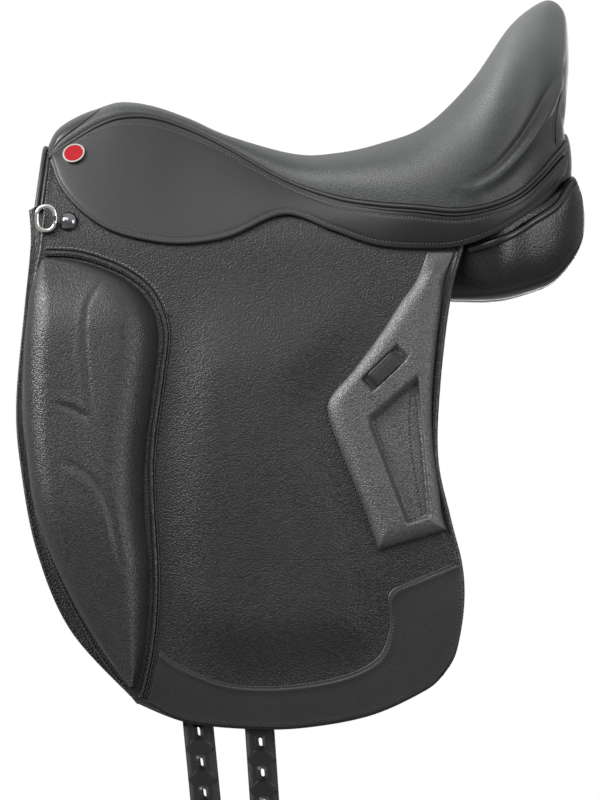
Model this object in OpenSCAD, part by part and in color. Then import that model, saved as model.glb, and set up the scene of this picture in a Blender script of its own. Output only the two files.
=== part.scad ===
// Dressage saddle, built round its tree. Millimetres.
// +X runs to the cantle, +Z up, and the left (near) side lies at -Y.
// The origin is on the middle plane, level with the panels' bearing face under the seat.
// Side pieces are drawn on the right, at +Y, and mirrored for the left.

/* [Seat] */
// Length of the seat from the front of the pommel to the back of the cantle
seat_l = 460; // [400:5:520]
// Width of the seat across its widest part
seat_w = 270; // [240:5:310]
// Height of the cantle over the bearing level
cantle_h = 266; // [240:2:290]
// Depth of the dish along the middle of the seat
dish = 24; // [6:2:32]
// Thickness of the seat cover
cover_t = 2.4; // [1.6:0.2:3.6]
// Radius of the welt round the seat
welt_r = 3.4; // [2.4:0.2:4.4]

/* [Tree] */
// Width of the laminated rails
rail_w = 24; // [18:1:28]
// Thickness of the laminated rails
rail_t = 9; // [6:0.5:11]
// Thickness of the spring steels and the cantle plate
steel_t = 2.5; // [1.5:0.5:4]
// Width of the spring steels
steel_w = 16; // [10:1:20]
// Thickness of the head plate
head_t = 4; // [3:0.5:5]
// Length of the head plate along the saddle
head_l = 20; // [12:1:24]
// Thickness of the strained webs
web_t = 1.4; // [0.8:0.2:1.8]
// Width of the strained webs
web_w = 30; // [20:1:38]
// Radius of the rivet heads
rivet_r = 3.5; // [2.5:0.5:5]

/* [Stirrup bar] */
// Radius of the bar that carries the stirrup leather
bar_r = 4; // [3:0.5:4.5]
// Length of the bar
bar_l = 54; // [46:1:60]
// Radius of the pin of the safety catch
pin_r = 1.5; // [1:0.1:2]
// Thickness of the safety catch
catch_t = 4; // [3:0.2:5]
// Reach of the safety catch past its pin
catch_l = 18; // [14:1:22]

/* [Flap and skirt] */
// Length of the flap below the line where it bends
flap_l = 424; // [360:4:480]
// How far the flap stands out at its lower edge
flap_flare = 60; // [40:2:76]
// Thickness of the flap
flap_t = 4.5; // [3:0.5:6]
// Thickness of the skirt
skirt_t = 3.5; // [2.5:0.5:4.5]
// Thickness of the sweat flap
sweat_t = 3.5; // [2.5:0.5:4.5]
// Room between the sweat flap and the flap for the girth straps
strap_room = 8; // [7.5:0.5:10]
// Thickness of the band along the bottom of the flap
band_t = 1.4; // [1:0.2:2.4]

/* [Blocks] */
// Height of the knee block over the flap
knee_h = 30; // [16:1:40]
// Width of the welt behind the knee block
knee_welt_w = 9; // [6:0.5:10]
// Height of the welt behind the knee block
knee_welt_h = 5; // [3:0.5:8]
// Height of the thigh block over the flap
thigh_h = 9; // [6:0.5:14]
// Depth of the recessed patch in the thigh block
patch_d = 4; // [1:0.5:5]
// Length of the keeper on the thigh block
keeper_l = 44; // [36:1:50]
// Width of the keeper
keeper_w = 14; // [10:1:18]
// Thickness of the keeper's leather
keeper_t = 2; // [1.4:0.2:3]

/* [Panel] */
// Height of the panel's rear bulge, as a difference from the drawn one
panel_swell = 0; // [-4:0.5:2]
// Radius of the welt on the panel
panel_welt_r = 3; // [2:0.2:3.6]
// Thickness of the gullet lining
lining_t = 3; // [2:0.5:5]

/* [Girth straps] */
// Width of a girth strap
strap_w = 25.4; // [20:0.2:30]
// Thickness of a girth strap
strap_t = 4; // [3:0.2:4.4]
// Free length of a strap below the flap
strap_free = 185; // [120:5:240]
// Distance between the buckle holes
hole_pitch = 27.3; // [24:0.1:30]
// Width of a buckle hole
hole_w = 4.1; // [3.5:0.1:5]
// Height of a buckle hole
hole_h = 9.5; // [7:0.5:12]
// Number of buckle holes in a strap
hole_n = 6; // [3:1:6]

/* [Fittings] */
// Width of the D-ring over its wire
dee_w = 20; // [18:0.5:24]
// Height of the D-ring over its wire
dee_h = 25.5; // [24:0.5:30]
// Radius of the D-ring's wire
dee_r = 2; // [1.5:0.1:2.2]
// Radius of the D-ring stud
stud_r = 8.5; // [6:0.5:9]
// Height of the stud's dome
stud_h = 5; // [3:0.5:7]
// Radius of the badge over its rim
badge_r = 10; // [7:0.5:11]
// Height of the badge
badge_t = 2; // [1.4:0.2:3]
// Width of the badge's rim
rim_w = 1.3; // [0.8:0.1:2]

/* [Hidden] */
$fn = 48;

// Clearance between pieces of leather, and the running clearance of a pin
gap = 0.3;
pin_gap = 0.15;
// Clearance between curved pieces that are drawn with flat facets
facet_gap = 0.8;
// Gap along the lines where leather bends
bend_gap = 0.6;
// Height of the line where the flap bends
bend_z = 43;
// Sizes at which the curves below are drawn
drawn_l = 460;
drawn_w = 270;
drawn_cantle = 266;
drawn_flap = 424;
// Colours of the leathers and metals
black = [0.07, 0.07, 0.075];
smooth_black = [0.1, 0.1, 0.11];
steel = [0.62, 0.63, 0.65];
wood = [0.72, 0.55, 0.36];
web = [0.82, 0.78, 0.68];

// Rows of the seat from pommel to cantle: crest x and z, then edge x, y and z
seat_rows = [
    [-233.5, 134, -231, 46, 127], [-224, 150, -221, 46, 135], [-206, 162, -206, 46, 145],
    [-184, 172, -188, 46, 156], [-166, 176, -168, 47, 163.5], [-140, 172.5, -142, 49, 164],
    [-108, 161.5, -112, 54, 155], [-72, 146, -78, 64, 139], [-14, 131, -23, 84, 108],
    [24, 133, 22, 103, 92], [62, 143, 58, 117, 86], [103, 162, 95, 129, 83],
    [143, 206, 130, 135, 80], [180, 261, 160, 133, 85], [208, 273, 184, 124, 96],
    [226, 256, 203, 105, 113], [230.5, 220, 215, 80, 127], [228, 176, 223, 55, 136],
    [225, 156, 227, 36, 142]];
// How much of the dish each row has
dish_rows = [0, 0, 0, 0, 0, 0, 0, 0.02, 0.15, 0.3, 0.55, 0.85, 1, 0.9, 0.3, 0, 0, 0, 0];
// Lower edge of the skirt at the same rows: x and z
skirt_rows = [
    [-232.5, 124.5], [-228, 118], [-220, 97.5], [-204, 78], [-180, 61], [-150, 51.5], [-114, 47.5],
    [-72, 53.5], [-23, 73.4], [20, 60], [58, 47.5], [95, 44.6], [130, 46.5], [160, 56.5], [188, 73],
    [208, 88], [220, 103], [226, 121], [228.5, 134]];
// Rows of the ground seat on the tree, in the same form as the seat
ground_rows = [
    [-222, 134, -222, 34, 127], [-200, 146, -204, 38, 130], [-165, 156, -168, 40, 135],
    [-110, 143, -114, 46, 128], [-40, 116, -42, 62, 104], [20, 106, 18, 84, 86], [80, 110, 76, 102, 78],
    [130, 140, 126, 112, 78], [168, 186, 158, 110, 84], [196, 228, 178, 98, 96], [209, 234, 194, 82, 112],
    [215, 212, 205, 62, 126], [215, 170, 212, 42, 136], [214, 150, 216, 28, 142]];
ground_dish_rows = [0, 0, 0, 0, 0.1, 0.25, 0.45, 0.7, 0.6, 0.3, 0, 0, 0, 0];
// Rows of the panel: x, middle y and z, half width, half depth, tilt
panel_rows = [
    [-232, 50, 84, 20, 3, 64], [-226, 50, 83, 34, 5, 64], [-196, 50, 75, 43, 6.5, 62],
    [-140, 61, 62, 46, 8, 56], [-95, 63, 55, 44, 8, 50], [-40, 67, 42, 37, 14, 36], [20, 68, 34, 36, 22, 20],
    [80, 69, 34, 36, 32, 8], [125, 74, 37, 41, 38, 3], [165, 81, 43, 47, 44, 0], [195, 74, 52, 40, 46, 0],
    [218, 67, 58, 35, 42, 0], [233, 62, 71, 27, 38, 0], [241, 60, 72, 15, 23, 0], [243.5, 60, 71, 5, 8, 0]];
// Flap outline: front, lower and rear edge, each as x and z
flap_front = [
    [-240, 43], [-250, -12], [-254.5, -77], [-252, -130], [-236, -217], [-193, -306], [-153.5, -358]];
flap_foot = [[-153.5, -358], [-110, -375], [-56, -381], [-5, -380], [54, -369], [102, -347], [118, -333]];
flap_rear = [
    [136, 43], [124.6, -1], [115.5, -77], [113.5, -142], [124.6, -195], [135, -238], [136, -275],
    [129, -314], [118, -333]];
// Upper edge of the strip of the flap that is nailed to the tree, with its cut for the stirrup bar
strip_top = [
    [-231, 121.5], [-215, 116], [-180, 92], [-140, 62], [-98, 56], [-58, 64], [-20, 82], [18, 77], [58, 69],
    [97, 64], [136, 62]];
// Sweat flap outline
sweat_top = [[-250, 83], [-236, 86], [-205, 60], [-165, 38], [-100, 30], [0, 32], [114, 30]];
sweat_front = [
    [-250, 83], [-248.5, 50], [-254, -8], [-261, -91], [-256.7, -150], [-242.5, -223], [-212.7, -293],
    [-158, -353]];
sweat_foot = [[-158, -353], [-110, -368], [-56, -374], [-5, -373], [50, -362], [100, -337]];
sweat_rear = [[114, 30], [106, -77], [104, -142], [115, -195], [126, -240], [122, -300], [100, -337]];
// Knee block: front and rear edge
knee_front = [
    [-237, 32], [-242, 20], [-247, 3], [-250, -20], [-252.5, -55], [-252.5, -95], [-250, -135], [-243, -185],
    [-228, -230], [-206, -275], [-179, -318], [-158, -345]];
knee_rear = [
    [-231, 34], [-196, 29], [-161, 14], [-140, -9], [-134.5, -40], [-140, -90], [-146, -140], [-146.5, -190],
    [-142, -240], [-144, -290], [-148.5, -326], [-154, -344]];
// Middle of the welt behind the knee block
knee_seam = [
    [-234, 39], [-209, 38], [-186, 32], [-160, 20.5], [-139, 2], [-127.5, -29], [-131, -69], [-139, -128],
    [-140, -170], [-136, -252], [-140, -310], [-149, -353]];
// Thigh block: front and rear edge, and the corners of its recessed patch
thigh_front = [
    [103, 36], [94, 14], [80, -6], [62, -34], [38, -66], [18, -90], [17, -108], [28, -138], [40, -168],
    [51, -196], [61, -224]];
thigh_rear = [
    [126, 36], [119, 14], [116, -10], [112.5, -38], [109.5, -68], [108, -94], [108, -116], [110, -142],
    [114, -168], [117, -192], [121, -206]];
patch = [[92.6, -73], [50, -109.5], [85.4, -203], [101.5, -197]];
keeper_at = [67, -65];
keeper_turn = 44;
// Band along the bottom of the flap: upper and lower edge
band_top = [
    [-132, -311], [-117, -323], [-76, -340], [-28, -343], [26, -335], [60, -318], [71, -290], [70.3, -262],
    [92, -250], [128, -235]];
band_foot = [
    [-143, -357], [-110, -373], [-56, -379], [-5, -378], [54, -367], [101, -346], [117, -332], [128, -313],
    [134.5, -285], [134, -240]];
// Girth straps: x at the bend line and lean of the front and the rear strap, and their first holes
strap_x = [-141, -74];
strap_lean = [5.6, 3.9];
hole_z = [-383.6, -393];
// Places of the D-ring stud and the D-ring's leg, as x and z
stud_at = [-213.8, 66.7];
dee_at = [-226, 71];
// The stirrup bar's rear end and its height, the bar's distance from the middle plane and its plate's section
bar_end = [-70, 90, 70];
bar_plate = [[60, 110], [67, 94], [76, 61]];

// Curves and surfaces

function clamp(v, low, high) = min(max(v, low), high);
function lerp(a, b, t) = a + (b - a) * t;
function smooth(low, high, v) = let (t = clamp((v - low) / (high - low), 0, 1)) t * t * (3 - 2 * t);
function unit(v) = v / max(norm(v), 1e-9);

// Point of a smooth curve through the rows of a list, t from 0 to 1
function spline(rows, t) =
    let (n = len(rows) - 1, s = clamp(t, 0, 1) * n, i = min(floor(s), n - 1), f = s - i)
    let (a = rows[max(i - 1, 0)], b = rows[i], c = rows[i + 1], d = rows[min(i + 2, n)])
    0.5 * (2 * b + (c - a) * f + (2 * a - 5 * b + 4 * c - d) * f * f + (3 * b - a - 3 * c + d) * f * f * f);

// Drawn places to real places
function real_x(x) = x * seat_l / drawn_l;
function real_y(y) = y * seat_w / drawn_w;
function real_z(z) = z > bend_z
    ? bend_z + (z - bend_z) * (cantle_h - bend_z) / (drawn_cantle - bend_z)
    : bend_z - (bend_z - z) * flap_l / drawn_flap;
function real(p) = [real_x(p[0]), real_y(p[1]), real_z(p[2])];

// Inner face of the flap: distance from the middle plane at a drawn x and z
side_slope = 32 / 380;
function side(x, z) =
    let (base = real_y(92 + side_slope * (x + 240)), low = (bend_z - z) / drawn_flap, high = z - bend_z)
    z > bend_z
        ? base - real_y(0.25 * high + 0.0035 * high * high)
        : base + flap_flare * (1.55 * low - 0.6 * low * low) / 0.95;
function on_side(p) = [real_x(p[0]), side(p[0], p[1]), real_z(p[1])];

// Grid of a patch with four edges, given as functions of 0 to 1
function patch_point(front, rear, top, foot, s, t) =
    let (f = spline(front, t), r = spline(rear, t), a = spline(top, s), b = spline(foot, s))
    lerp(f, r, s) + lerp(a, b, t)
    - lerp(lerp(front[0], rear[0], s), lerp(front[len(front) - 1], rear[len(rear) - 1], s), t);
function patch_grid(front, rear, top, foot, n, m) =
    [for (i = [0:n]) [for (j = [0:m]) on_side(patch_point(front, rear, top, foot, i / n, j / m))]];
// Grid between two edges, either side by side or one above the other
function across_grid(front, rear, n, m) =
    [for (i = [0:n]) [for (j = [0:m]) on_side(lerp(spline(front, j / m), spline(rear, j / m), i / n))]];
function down_grid(top, foot, n, m) =
    [for (i = [0:n]) [for (j = [0:m]) on_side(lerp(spline(top, i / n), spline(foot, i / n), j / m))]];

function grid_normal(g, i, j) =
    let (n = len(g) - 1, m = len(g[0]) - 1)
    unit(cross(g[min(i + 1, n)][j] - g[max(i - 1, 0)][j], g[i][min(j + 1, m)] - g[i][max(j - 1, 0)]));
// A grid moved along its own normals, by one distance or by a list of them
function moved(g, d) =
    [for (i = [0:len(g) - 1]) [for (j = [0:len(g[0]) - 1])
        g[i][j] + grid_normal(g, i, j) * (is_list(d) ? d[i][j] : d)]];

function quad(a, b, c, d) = [[a, b, c], [a, c, d]];

// Closed solid between an outer and an inner grid
module between(outer, inner) {
    n = len(outer) - 1;
    m = len(outer[0]) - 1;
    w = m + 1;
    s = (n + 1) * w;
    faces = [
        for (i = [0:n - 1], j = [0:m - 1])
            each quad(i * w + j, i * w + j + 1, (i + 1) * w + j + 1, (i + 1) * w + j),
        for (i = [0:n - 1], j = [0:m - 1])
            each quad(s + i * w + j, s + (i + 1) * w + j, s + (i + 1) * w + j + 1, s + i * w + j + 1),
        for (j = [0:m - 1]) each quad(j + 1, j, s + j, s + j + 1),
        for (j = [0:m - 1]) each quad(n * w + j, n * w + j + 1, s + n * w + j + 1, s + n * w + j),
        for (i = [0:n - 1]) each quad(i * w, (i + 1) * w, s + (i + 1) * w, s + i * w),
        for (i = [0:n - 1]) each quad((i + 1) * w + m, i * w + m, s + i * w + m, s + (i + 1) * w + m)];
    polyhedron([for (r = outer) each r, for (r = inner) each r], faces, convexity = 8);
}

// Closed solid through a row of rings, or round a closed loop of them
module loft(rings, loop = false) {
    n = len(rings);
    m = len(rings[0]);
    last = loop ? n - 1 : n - 2;
    faces = [
        for (k = [0:last], i = [0:m - 1])
            each quad(k * m + i, (k + 1) % n * m + i, (k + 1) % n * m + (i + 1) % m, k * m + (i + 1) % m),
        if (!loop) for (i = [1:m - 2]) [0, i, i + 1],
        if (!loop) for (i = [1:m - 2]) [(n - 1) * m, (n - 1) * m + i + 1, (n - 1) * m + i]];
    polyhedron([for (r = rings) each r], faces, convexity = 8);
}

// Round tube along a path
function tube_ring(path, k, r, sides, up) =
    let (n = len(path) - 1, t = unit(path[min(k + 1, n)] - path[max(k - 1, 0)]))
    let (a = unit(cross(up, t)), b = cross(t, a))
    [for (i = [0:sides - 1]) path[k] + r * (a * cos(360 * i / sides) + b * sin(360 * i / sides))];
module tube(path, r, sides, up) loft([for (k = [0:len(path) - 1]) tube_ring(path, k, r, sides, up)]);

// Child turned so that its +Z points along a direction, and its +X as level as it can be
module facing(p, n) {
    x = unit(cross([0, 0, 1], n));
    y = cross(n, x);
    multmatrix([[x[0], y[0], n[0], p[0]], [x[1], y[1], n[1], p[1]], [x[2], y[2], n[2], p[2]], [0, 0, 0, 1]])
        children();
}
module left() mirror([0, 1, 0]) children();

// Seat

// How square the seat's section is at each end, and how far out the dish runs
pommel_round = 2.8;
cantle_round = 2.3;
dish_edge = 0.62;
seat_steps = 24;
seat_across = 14;

// Point over the seat: u along it, w across it from -1 to 1
function arch_point(rows, dips, u, w) =
    let (r = spline(rows, u), e = 2 / lerp(pommel_round, cantle_round, smooth(0.5, 0.7, u)))
    let (rise = pow(cos(90 * abs(w)), e), out = pow(sin(90 * abs(w)), e))
    let (dip = dish * spline(dips, u), f = clamp(out / dish_edge, 0, 1))
    let (p = real([lerp(r[2], r[0], rise), sign(w) * r[3] * out, lerp(r[4], r[1], rise)]))
    p - [0, 0, dip * (1 - f * f) * (1 - f * f)];
function seat_grid(rows, dips, from, to) =
    [for (i = [0:seat_steps]) [for (j = [0:seat_across])
        arch_point(rows, dips, lerp(from, to, i / seat_steps), 2 * j / seat_across - 1)]];
function ground(u, w) = arch_point(ground_rows, ground_dish_rows, u, w);
function ground_normal(u, w) =
    let (d = 0.01)
    unit(cross(ground(u + d, w) - ground(u - d, w), ground(u, w + d) - ground(u, w - d)));

module seat_cover() {
    g = seat_grid(seat_rows, dish_rows, 0, 1);
    color(smooth_black) between(g, moved(g, -cover_t));
}

module seat_foam() {
    top = moved(seat_grid(seat_rows, dish_rows, 0, 1), -cover_t - gap);
    color([0.85, 0.8, 0.6]) between(top, seat_grid(ground_rows, ground_dish_rows, 0, 1));
}

// Edge of the seat, the skirt's lower edge, and the way from one to the other
function seat_edge(u) = let (r = spline(seat_rows, u)) real([r[2], r[3], r[4]]);
function skirt_edge(u) =
    let (p = spline(skirt_rows, u), w = smooth(110, 165, p[0]))
    [real_x(p[0]), lerp(side(p[0], p[1]) + flap_t + 2 * bend_gap, seat_edge(u)[1], w), real_z(p[1])];
function welt_point(u) =
    let (a = seat_edge(u), d = unit(skirt_edge(u) - a))
    a + d * (welt_r + facet_gap) + [0, gap, 0];
welt_rings = 36;
module seat_welt() tube([for (k = [0:welt_rings]) welt_point(k / welt_rings)], welt_r, 6, [0, 1, 0.2]);
module seat_welt_left() color(smooth_black) left() seat_welt();
module seat_welt_right() color(smooth_black) seat_welt();

// Skirt: the fixed part, and the front lobe that lifts over the stirrup bar

skirt_from = 0.75 / 18;
skirt_to = 17 / 18;
lobe_from = 2 / 18;
lobe_to = 8 / 18;
skirt_bulge = 3;
skirt_steps = 32;
lobe_steps = 16;

function skirt_point(u, v) =
    let (a = seat_edge(u), b = skirt_edge(u))
    lerp(a, b, v) + [0, skirt_bulge * 4 * v * (1 - v), 0];
// Share of the skirt's depth at its seam with the welt, and at the line where the lobe bends
function skirt_seam(u) = min(0.6, (2 * welt_r + 2 * facet_gap) / norm(skirt_edge(u) - seat_edge(u)));
function lobe_line(u) =
    let (a = skirt_edge(lobe_from), b = skirt_edge(lobe_to), n = [b[2] - a[2], a[0] - b[0]])
    let (p = seat_edge(u), q = skirt_edge(u), d = [q[0] - p[0], q[2] - p[2]])
    (n * [a[0] - p[0], a[2] - p[2]]) / (n * d);
function skirt_foot(u) =
    let (d = norm(skirt_edge(u) - seat_edge(u)))
    u > lobe_from && u < lobe_to ? clamp(lobe_line(u) - bend_gap / d, 0, 1) : 1;

module skirt() {
    g = [for (i = [0:skirt_steps]) let (u = lerp(skirt_from, skirt_to, i / skirt_steps))
        [for (j = [0:3]) skirt_point(u, lerp(skirt_seam(u), skirt_foot(u), j / 3))]];
    between(moved(g, skirt_t), g);
}
module skirt_left() color(smooth_black) left() skirt();
module skirt_right() color(smooth_black) skirt();

module skirt_lobe() {
    inset = 0.012;
    g = [for (i = [0:lobe_steps]) let (u = lerp(lobe_from + inset, lobe_to - inset, i / lobe_steps))
        let (d = norm(skirt_edge(u) - seat_edge(u)))
        [for (j = [0:3]) skirt_point(u, lerp(lobe_line(u) + bend_gap / d, 1, j / 3))]];
    between(moved(g, skirt_t), g);
}
module skirt_lobe_left() color(smooth_black) left() skirt_lobe();
module skirt_lobe_right() color(smooth_black) skirt_lobe();

// Facings at both ends of the seat

facing_t = 3;
// Outer and inner edge of the pommel's facing from the middle to its foot: y and z
facing_outer = [[0, 135], [34, 132], [45, 126.5], [53, 119], [62, 107], [70, 91]];
facing_inner = [[0, 119], [30, 114], [41, 108], [48, 103], [55, 97], [63, 88.5]];
// How far the facing's front comes forward for each mm down
facing_lean = 0.13;
module pommel_facing() {
    last = len(facing_outer) - 1;
    rear = real_x(-233.5) - gap;
    edges = [for (k = [-last:last]) [for (e = [facing_outer, facing_inner])
        [sign(k) * real_y(e[abs(k)][0]), real_z(e[abs(k)][1])]]];
    top = edges[last][0][1];
    front = [for (r = edges) [for (p = r) [rear - facing_t - facing_lean * (top - p[1]), p[0], p[1]]]];
    back = [for (r = edges) [for (p = r) [rear, p[0], p[1]]]];
    color(black) between(front, back);
}

cantle_pad_t = 6;
module cantle_facing() {
    n = 12;
    rings = [for (k = [0:n]) let (s = 2 * k / n - 1, w = sqrt(1 - 0.8 * s * s))
        [for (i = [0:9]) let (a = -36 * i, x = real_x(227) - 5 * s * s + cantle_pad_t * w * cos(a))
            [x, real_y(40) * s, real_z(119) + 29 * w * sin(a)]]];
    color(smooth_black) loft(rings);
}

// Tree

// Path of the tree's rails round the ground seat, by angle from the pommel
tree_front = 0.09;
tree_rear = 0.64;
tree_reach = 0.5;
function tree_u(a) = lerp(tree_front, tree_rear, (1 - cos(a)) / 2);
function tree_w(a) = tree_reach * sign(sin(a)) * pow(abs(sin(a)), 0.6);
function tree_point(a, depth) =
    let (u = tree_u(a), w = tree_w(a)) ground(u, w) - ground_normal(u, w) * depth;
// Ring of a flat bar on that path
function tree_ring(a, depth, t, w) =
    let (p = tree_point(a, depth), n = ground_normal(tree_u(a), tree_w(a)))
    let (d = unit(tree_point(a + 2, depth) - tree_point(a - 2, depth)), s = unit(cross(n, d)), c = t / 4)
    let (h = w / 2)
    [for (q = [[h - c, 0], [c - h, 0], [-h, -c], [-h, c - t], [c - h, -t], [h - c, -t], [h, c - t], [h, -c]])
        p + s * q[0] + n * q[1]];
web_depth = 3 * facet_gap;
cross_depth = web_depth + web_t + gap;
tree_depth = cross_depth + web_t + 2 * facet_gap;
steel_depth = tree_depth + rail_t + facet_gap;
// The rails narrow where they turn up into the cantle
function rail_width(a) = lerp(rail_w, rail_w / 2, smooth(100, 165, abs(a > 180 ? 360 - a : a)));
function rail_drop(a) = 5 * smooth(110, 170, abs(a > 180 ? 360 - a : a));

module tree_frame()
    color(wood) loft(
        [for (a = [0:9:359]) tree_ring(a, tree_depth + rail_drop(a), rail_t, rail_width(a))], true);

module spring_steel(from, to, w)
    loft([for (k = [0:12]) let (a = lerp(from, to, k / 12))
        tree_ring(a, steel_depth + rail_drop(a), steel_t, min(w, rail_width(a) - 2))]);
module spring_steel_left() color(steel) left() spring_steel(35, 125, steel_w);
module spring_steel_right() color(steel) spring_steel(35, 125, steel_w);
module cantle_plate() color(steel) spring_steel(135, 225, steel_w);

rivet_h = 2;
rivet_places = [42.5, 65, 87.5, 102.5, 117.5];
module rivets()
    for (a = rivet_places)
        facing(tree_point(a, steel_depth + rail_drop(a) + steel_t + 2 * gap + rivet_h),
            ground_normal(tree_u(a), tree_w(a)))
            cylinder(h = rivet_h, r = rivet_r);
module tree_rivets() color(steel) {
    rivets();
    left() rivets();
}

// Arch of steel under the pommel, which ends in the points, and its room inside the panels' point pockets
pocket_front = -212;
pocket_t = 2.6;
point_gap = 1;
pocket_depth = strap_room + sweat_t + facet_gap + gap;
function point_room(z) = side(pocket_front, z) - pocket_depth - pocket_t - point_gap;
module head_plate() {
    arch = [[78, 44], [72, 62], [62, 86], [46, 110], [26, 124], [0, 129]];
    outer = [for (p = arch) [min(real_y(p[0]), point_room(p[1])), real_z(p[1])]];
    inner = [for (p = outer) p - head_t * unit([p[0], p[1] - real_z(60)])];
    half = concat(outer, [for (i = [len(inner) - 1:-1:0]) inner[i]]);
    color(steel) translate([real_x(-196) - head_l / 2, 0, 0]) rotate([90, 0, 90]) linear_extrude(head_l) {
        polygon(half);
        mirror([1, 0]) polygon(half);
    }
}

// Webs strained over the tree
module strip(points, normals, t, w) {
    n = len(points) - 1;
    rings = [for (k = [0:n]) let (d = unit(points[min(k + 1, n)] - points[max(k - 1, 0)]))
        let (s = unit(cross(normals[k], d)) * w / 2, h = normals[k] * t)
        [points[k] + s, points[k] - s, points[k] - s - h, points[k] + s - h]];
    loft(rings);
}
web_line = 0.3;
module seat_webs() color(web) for (side_sign = [-1, 1]) {
    us = [for (k = [0:14]) lerp(0.13, 0.6, k / 14)];
    strip([for (u = us) ground(u, web_line * side_sign) - ground_normal(u, web_line * side_sign) * web_depth],
        [for (u = us) ground_normal(u, web_line * side_sign)], web_t, web_w / 2);
}
module cross_web() {
    u = 0.36;
    ws = [for (k = [0:12]) lerp(-0.6, 0.6, k / 12)];
    color(web) strip([for (w = ws) ground(u, w) - ground_normal(u, w) * cross_depth],
        [for (w = ws) ground_normal(u, w)], web_t, web_w);
}

// Stirrup bar with its safety catch

plate_t = 3;
post_l = 8;
lug_l = 9;
function bar_place() = real(bar_end);
function plate_points() = [for (p = bar_plate) [real_y(p[0]), real_z(p[1])]];
module stirrup_bar() {
    e = bar_place();
    p = plate_points();
    lug = bar_r * 2;
    lug_slot = catch_t + 2 * pin_gap;
    plate_y = p[2][0] + plate_t;
    difference() {
        union() {
            translate([e[0] - bar_l, 0, 0]) rotate([90, 0, 90]) linear_extrude(bar_l)
                polygon(concat(p, [for (i = [2, 1, 0]) p[i] + [plate_t, 0]]));
            translate([e[0] - bar_l, e[1], e[2]]) rotate([0, 90, 0]) cylinder(h = bar_l - lug_l, r = bar_r);
            translate([e[0] - bar_l, plate_y - plate_t, e[2] - bar_r])
                cube([post_l, e[1] - plate_y + plate_t, lug]);
            translate([e[0] - lug_l, e[1] - bar_r, e[2] - bar_r]) cube([lug_l, lug, lug]);
        }
        translate([e[0] - lug_l + plate_t, e[1] - lug_slot / 2, e[2] - lug]) cube([lug_l, lug_slot, 2 * lug]);
        translate([e[0] - lug_l / 3, e[1] + lug, e[2]]) rotate([90, 0, 0]) cylinder(h = 2 * lug, r = pin_r);
    }
}
module stirrup_bar_left() color(steel) left() stirrup_bar();
module stirrup_bar_right() color(steel) stirrup_bar();

module stirrup_catch() {
    e = bar_place();
    boss = lug_l / 3 - 0.2;
    color(steel) translate([e[0] - lug_l / 3, e[1] + catch_t / 2, e[2]]) rotate([90, 0, 0])
        linear_extrude(catch_t) difference() {
            union() {
                circle(boss);
                translate([0, -boss]) square([catch_l, boss * 2 - 0.6]);
                translate([catch_l, 0.4]) circle(boss + 0.4);
            }
            circle(pin_r + pin_gap);
        }
}
module stirrup_catch_left() left() stirrup_catch();
module stirrup_catch_right() stirrup_catch();

module catch_pin() {
    e = bar_place();
    translate([e[0] - lug_l / 3, e[1] + bar_r, e[2]]) rotate([90, 0, 0]) cylinder(h = 2 * bar_r, r = pin_r);
}
module catch_pins() color(steel) {
    catch_pin();
    left() catch_pin();
}

// Flap, sweat flap and what is sewn on them

flap_across = 12;
flap_down = 14;
flap_line = [flap_front[0], flap_rear[0]];
function flap_grid() = patch_grid(flap_front, flap_rear, flap_line, flap_foot, flap_across, flap_down);
// Grids just outside the flap
function on_flap(g) = moved(g, flap_t + gap);

module flap() {
    g = flap_grid();
    low = [for (r = g) [for (j = [0:flap_down]) j == 0 ? r[0] - [0, 0, bend_gap / 2] : r[j]]];
    between(moved(low, flap_t), low);
}
module flap_left() color(black) left() flap();
module flap_right() color(black) flap();

module flap_top() {
    foot = [for (p = flap_line) p + [0, bend_gap / 2]];
    g = down_grid(strip_top, foot, 20, 4);
    between(moved(g, flap_t), g);
}
module flap_top_left() color(black) left() flap_top();
module flap_top_right() color(black) flap_top();

module sweat_flap() {
    g = patch_grid(sweat_front, sweat_rear, sweat_top, sweat_foot, 12, 14);
    between(moved(g, -strap_room), moved(g, -strap_room - sweat_t));
}
module sweat_flap_left() color(black) left() sweat_flap();
module sweat_flap_right() color(black) sweat_flap();

// The knee block has a round shoulder in front, a plateau that falls a little, and a steep rear wall
least_pad = 3;
knee_shoulder = 0.3;
knee_wall = 0.1;
knee_fall = 0.14;
function shoulder(v) = let (d = 1 - clamp(v, 0, 1)) sqrt(1 - d * d);
function knee_height(s, t) =
    let (along = smooth(-0.05, 0.34, t) * (1 - 0.6 * smooth(0.6, 1, t)))
    let (walls = shoulder(s / knee_shoulder) * shoulder((1 - s) / knee_wall))
    least_pad + knee_h * along * walls * (1 - knee_fall * s);
module knee_block() {
    n = 10;
    m = 18;
    g = across_grid(knee_front, knee_rear, n, m);
    seat = on_flap(g);
    h = [for (i = [0:n]) [for (j = [0:m]) flap_t + gap + knee_height(i / n, j / m)]];
    between(moved(g, h), seat);
}
module knee_block_left() color(black) left() knee_block();
module knee_block_right() color(black) knee_block();

module knee_welt() {
    n = 34;
    p = [for (k = [0:n]) on_side(spline(knee_seam, k / n))];
    rings = [for (k = [0:n])
        let (d = unit(p[min(k + 1, n)] - p[max(k - 1, 0)]), out = unit([-side_slope, 1, 0.2]))
        let (s = unit(cross(out, d)), o = unit(cross(d, s)), h = knee_welt_w / 2)
        let (b = p[k] + o * (flap_t + 2 * gap))
        [b + s * h, b + s * h * 0.7 + o * knee_welt_h, b - s * h * 0.7 + o * knee_welt_h, b - s * h]];
    loft(rings);
}
module knee_welt_left() color(smooth_black) left() knee_welt();
module knee_welt_right() color(smooth_black) knee_welt();

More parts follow.
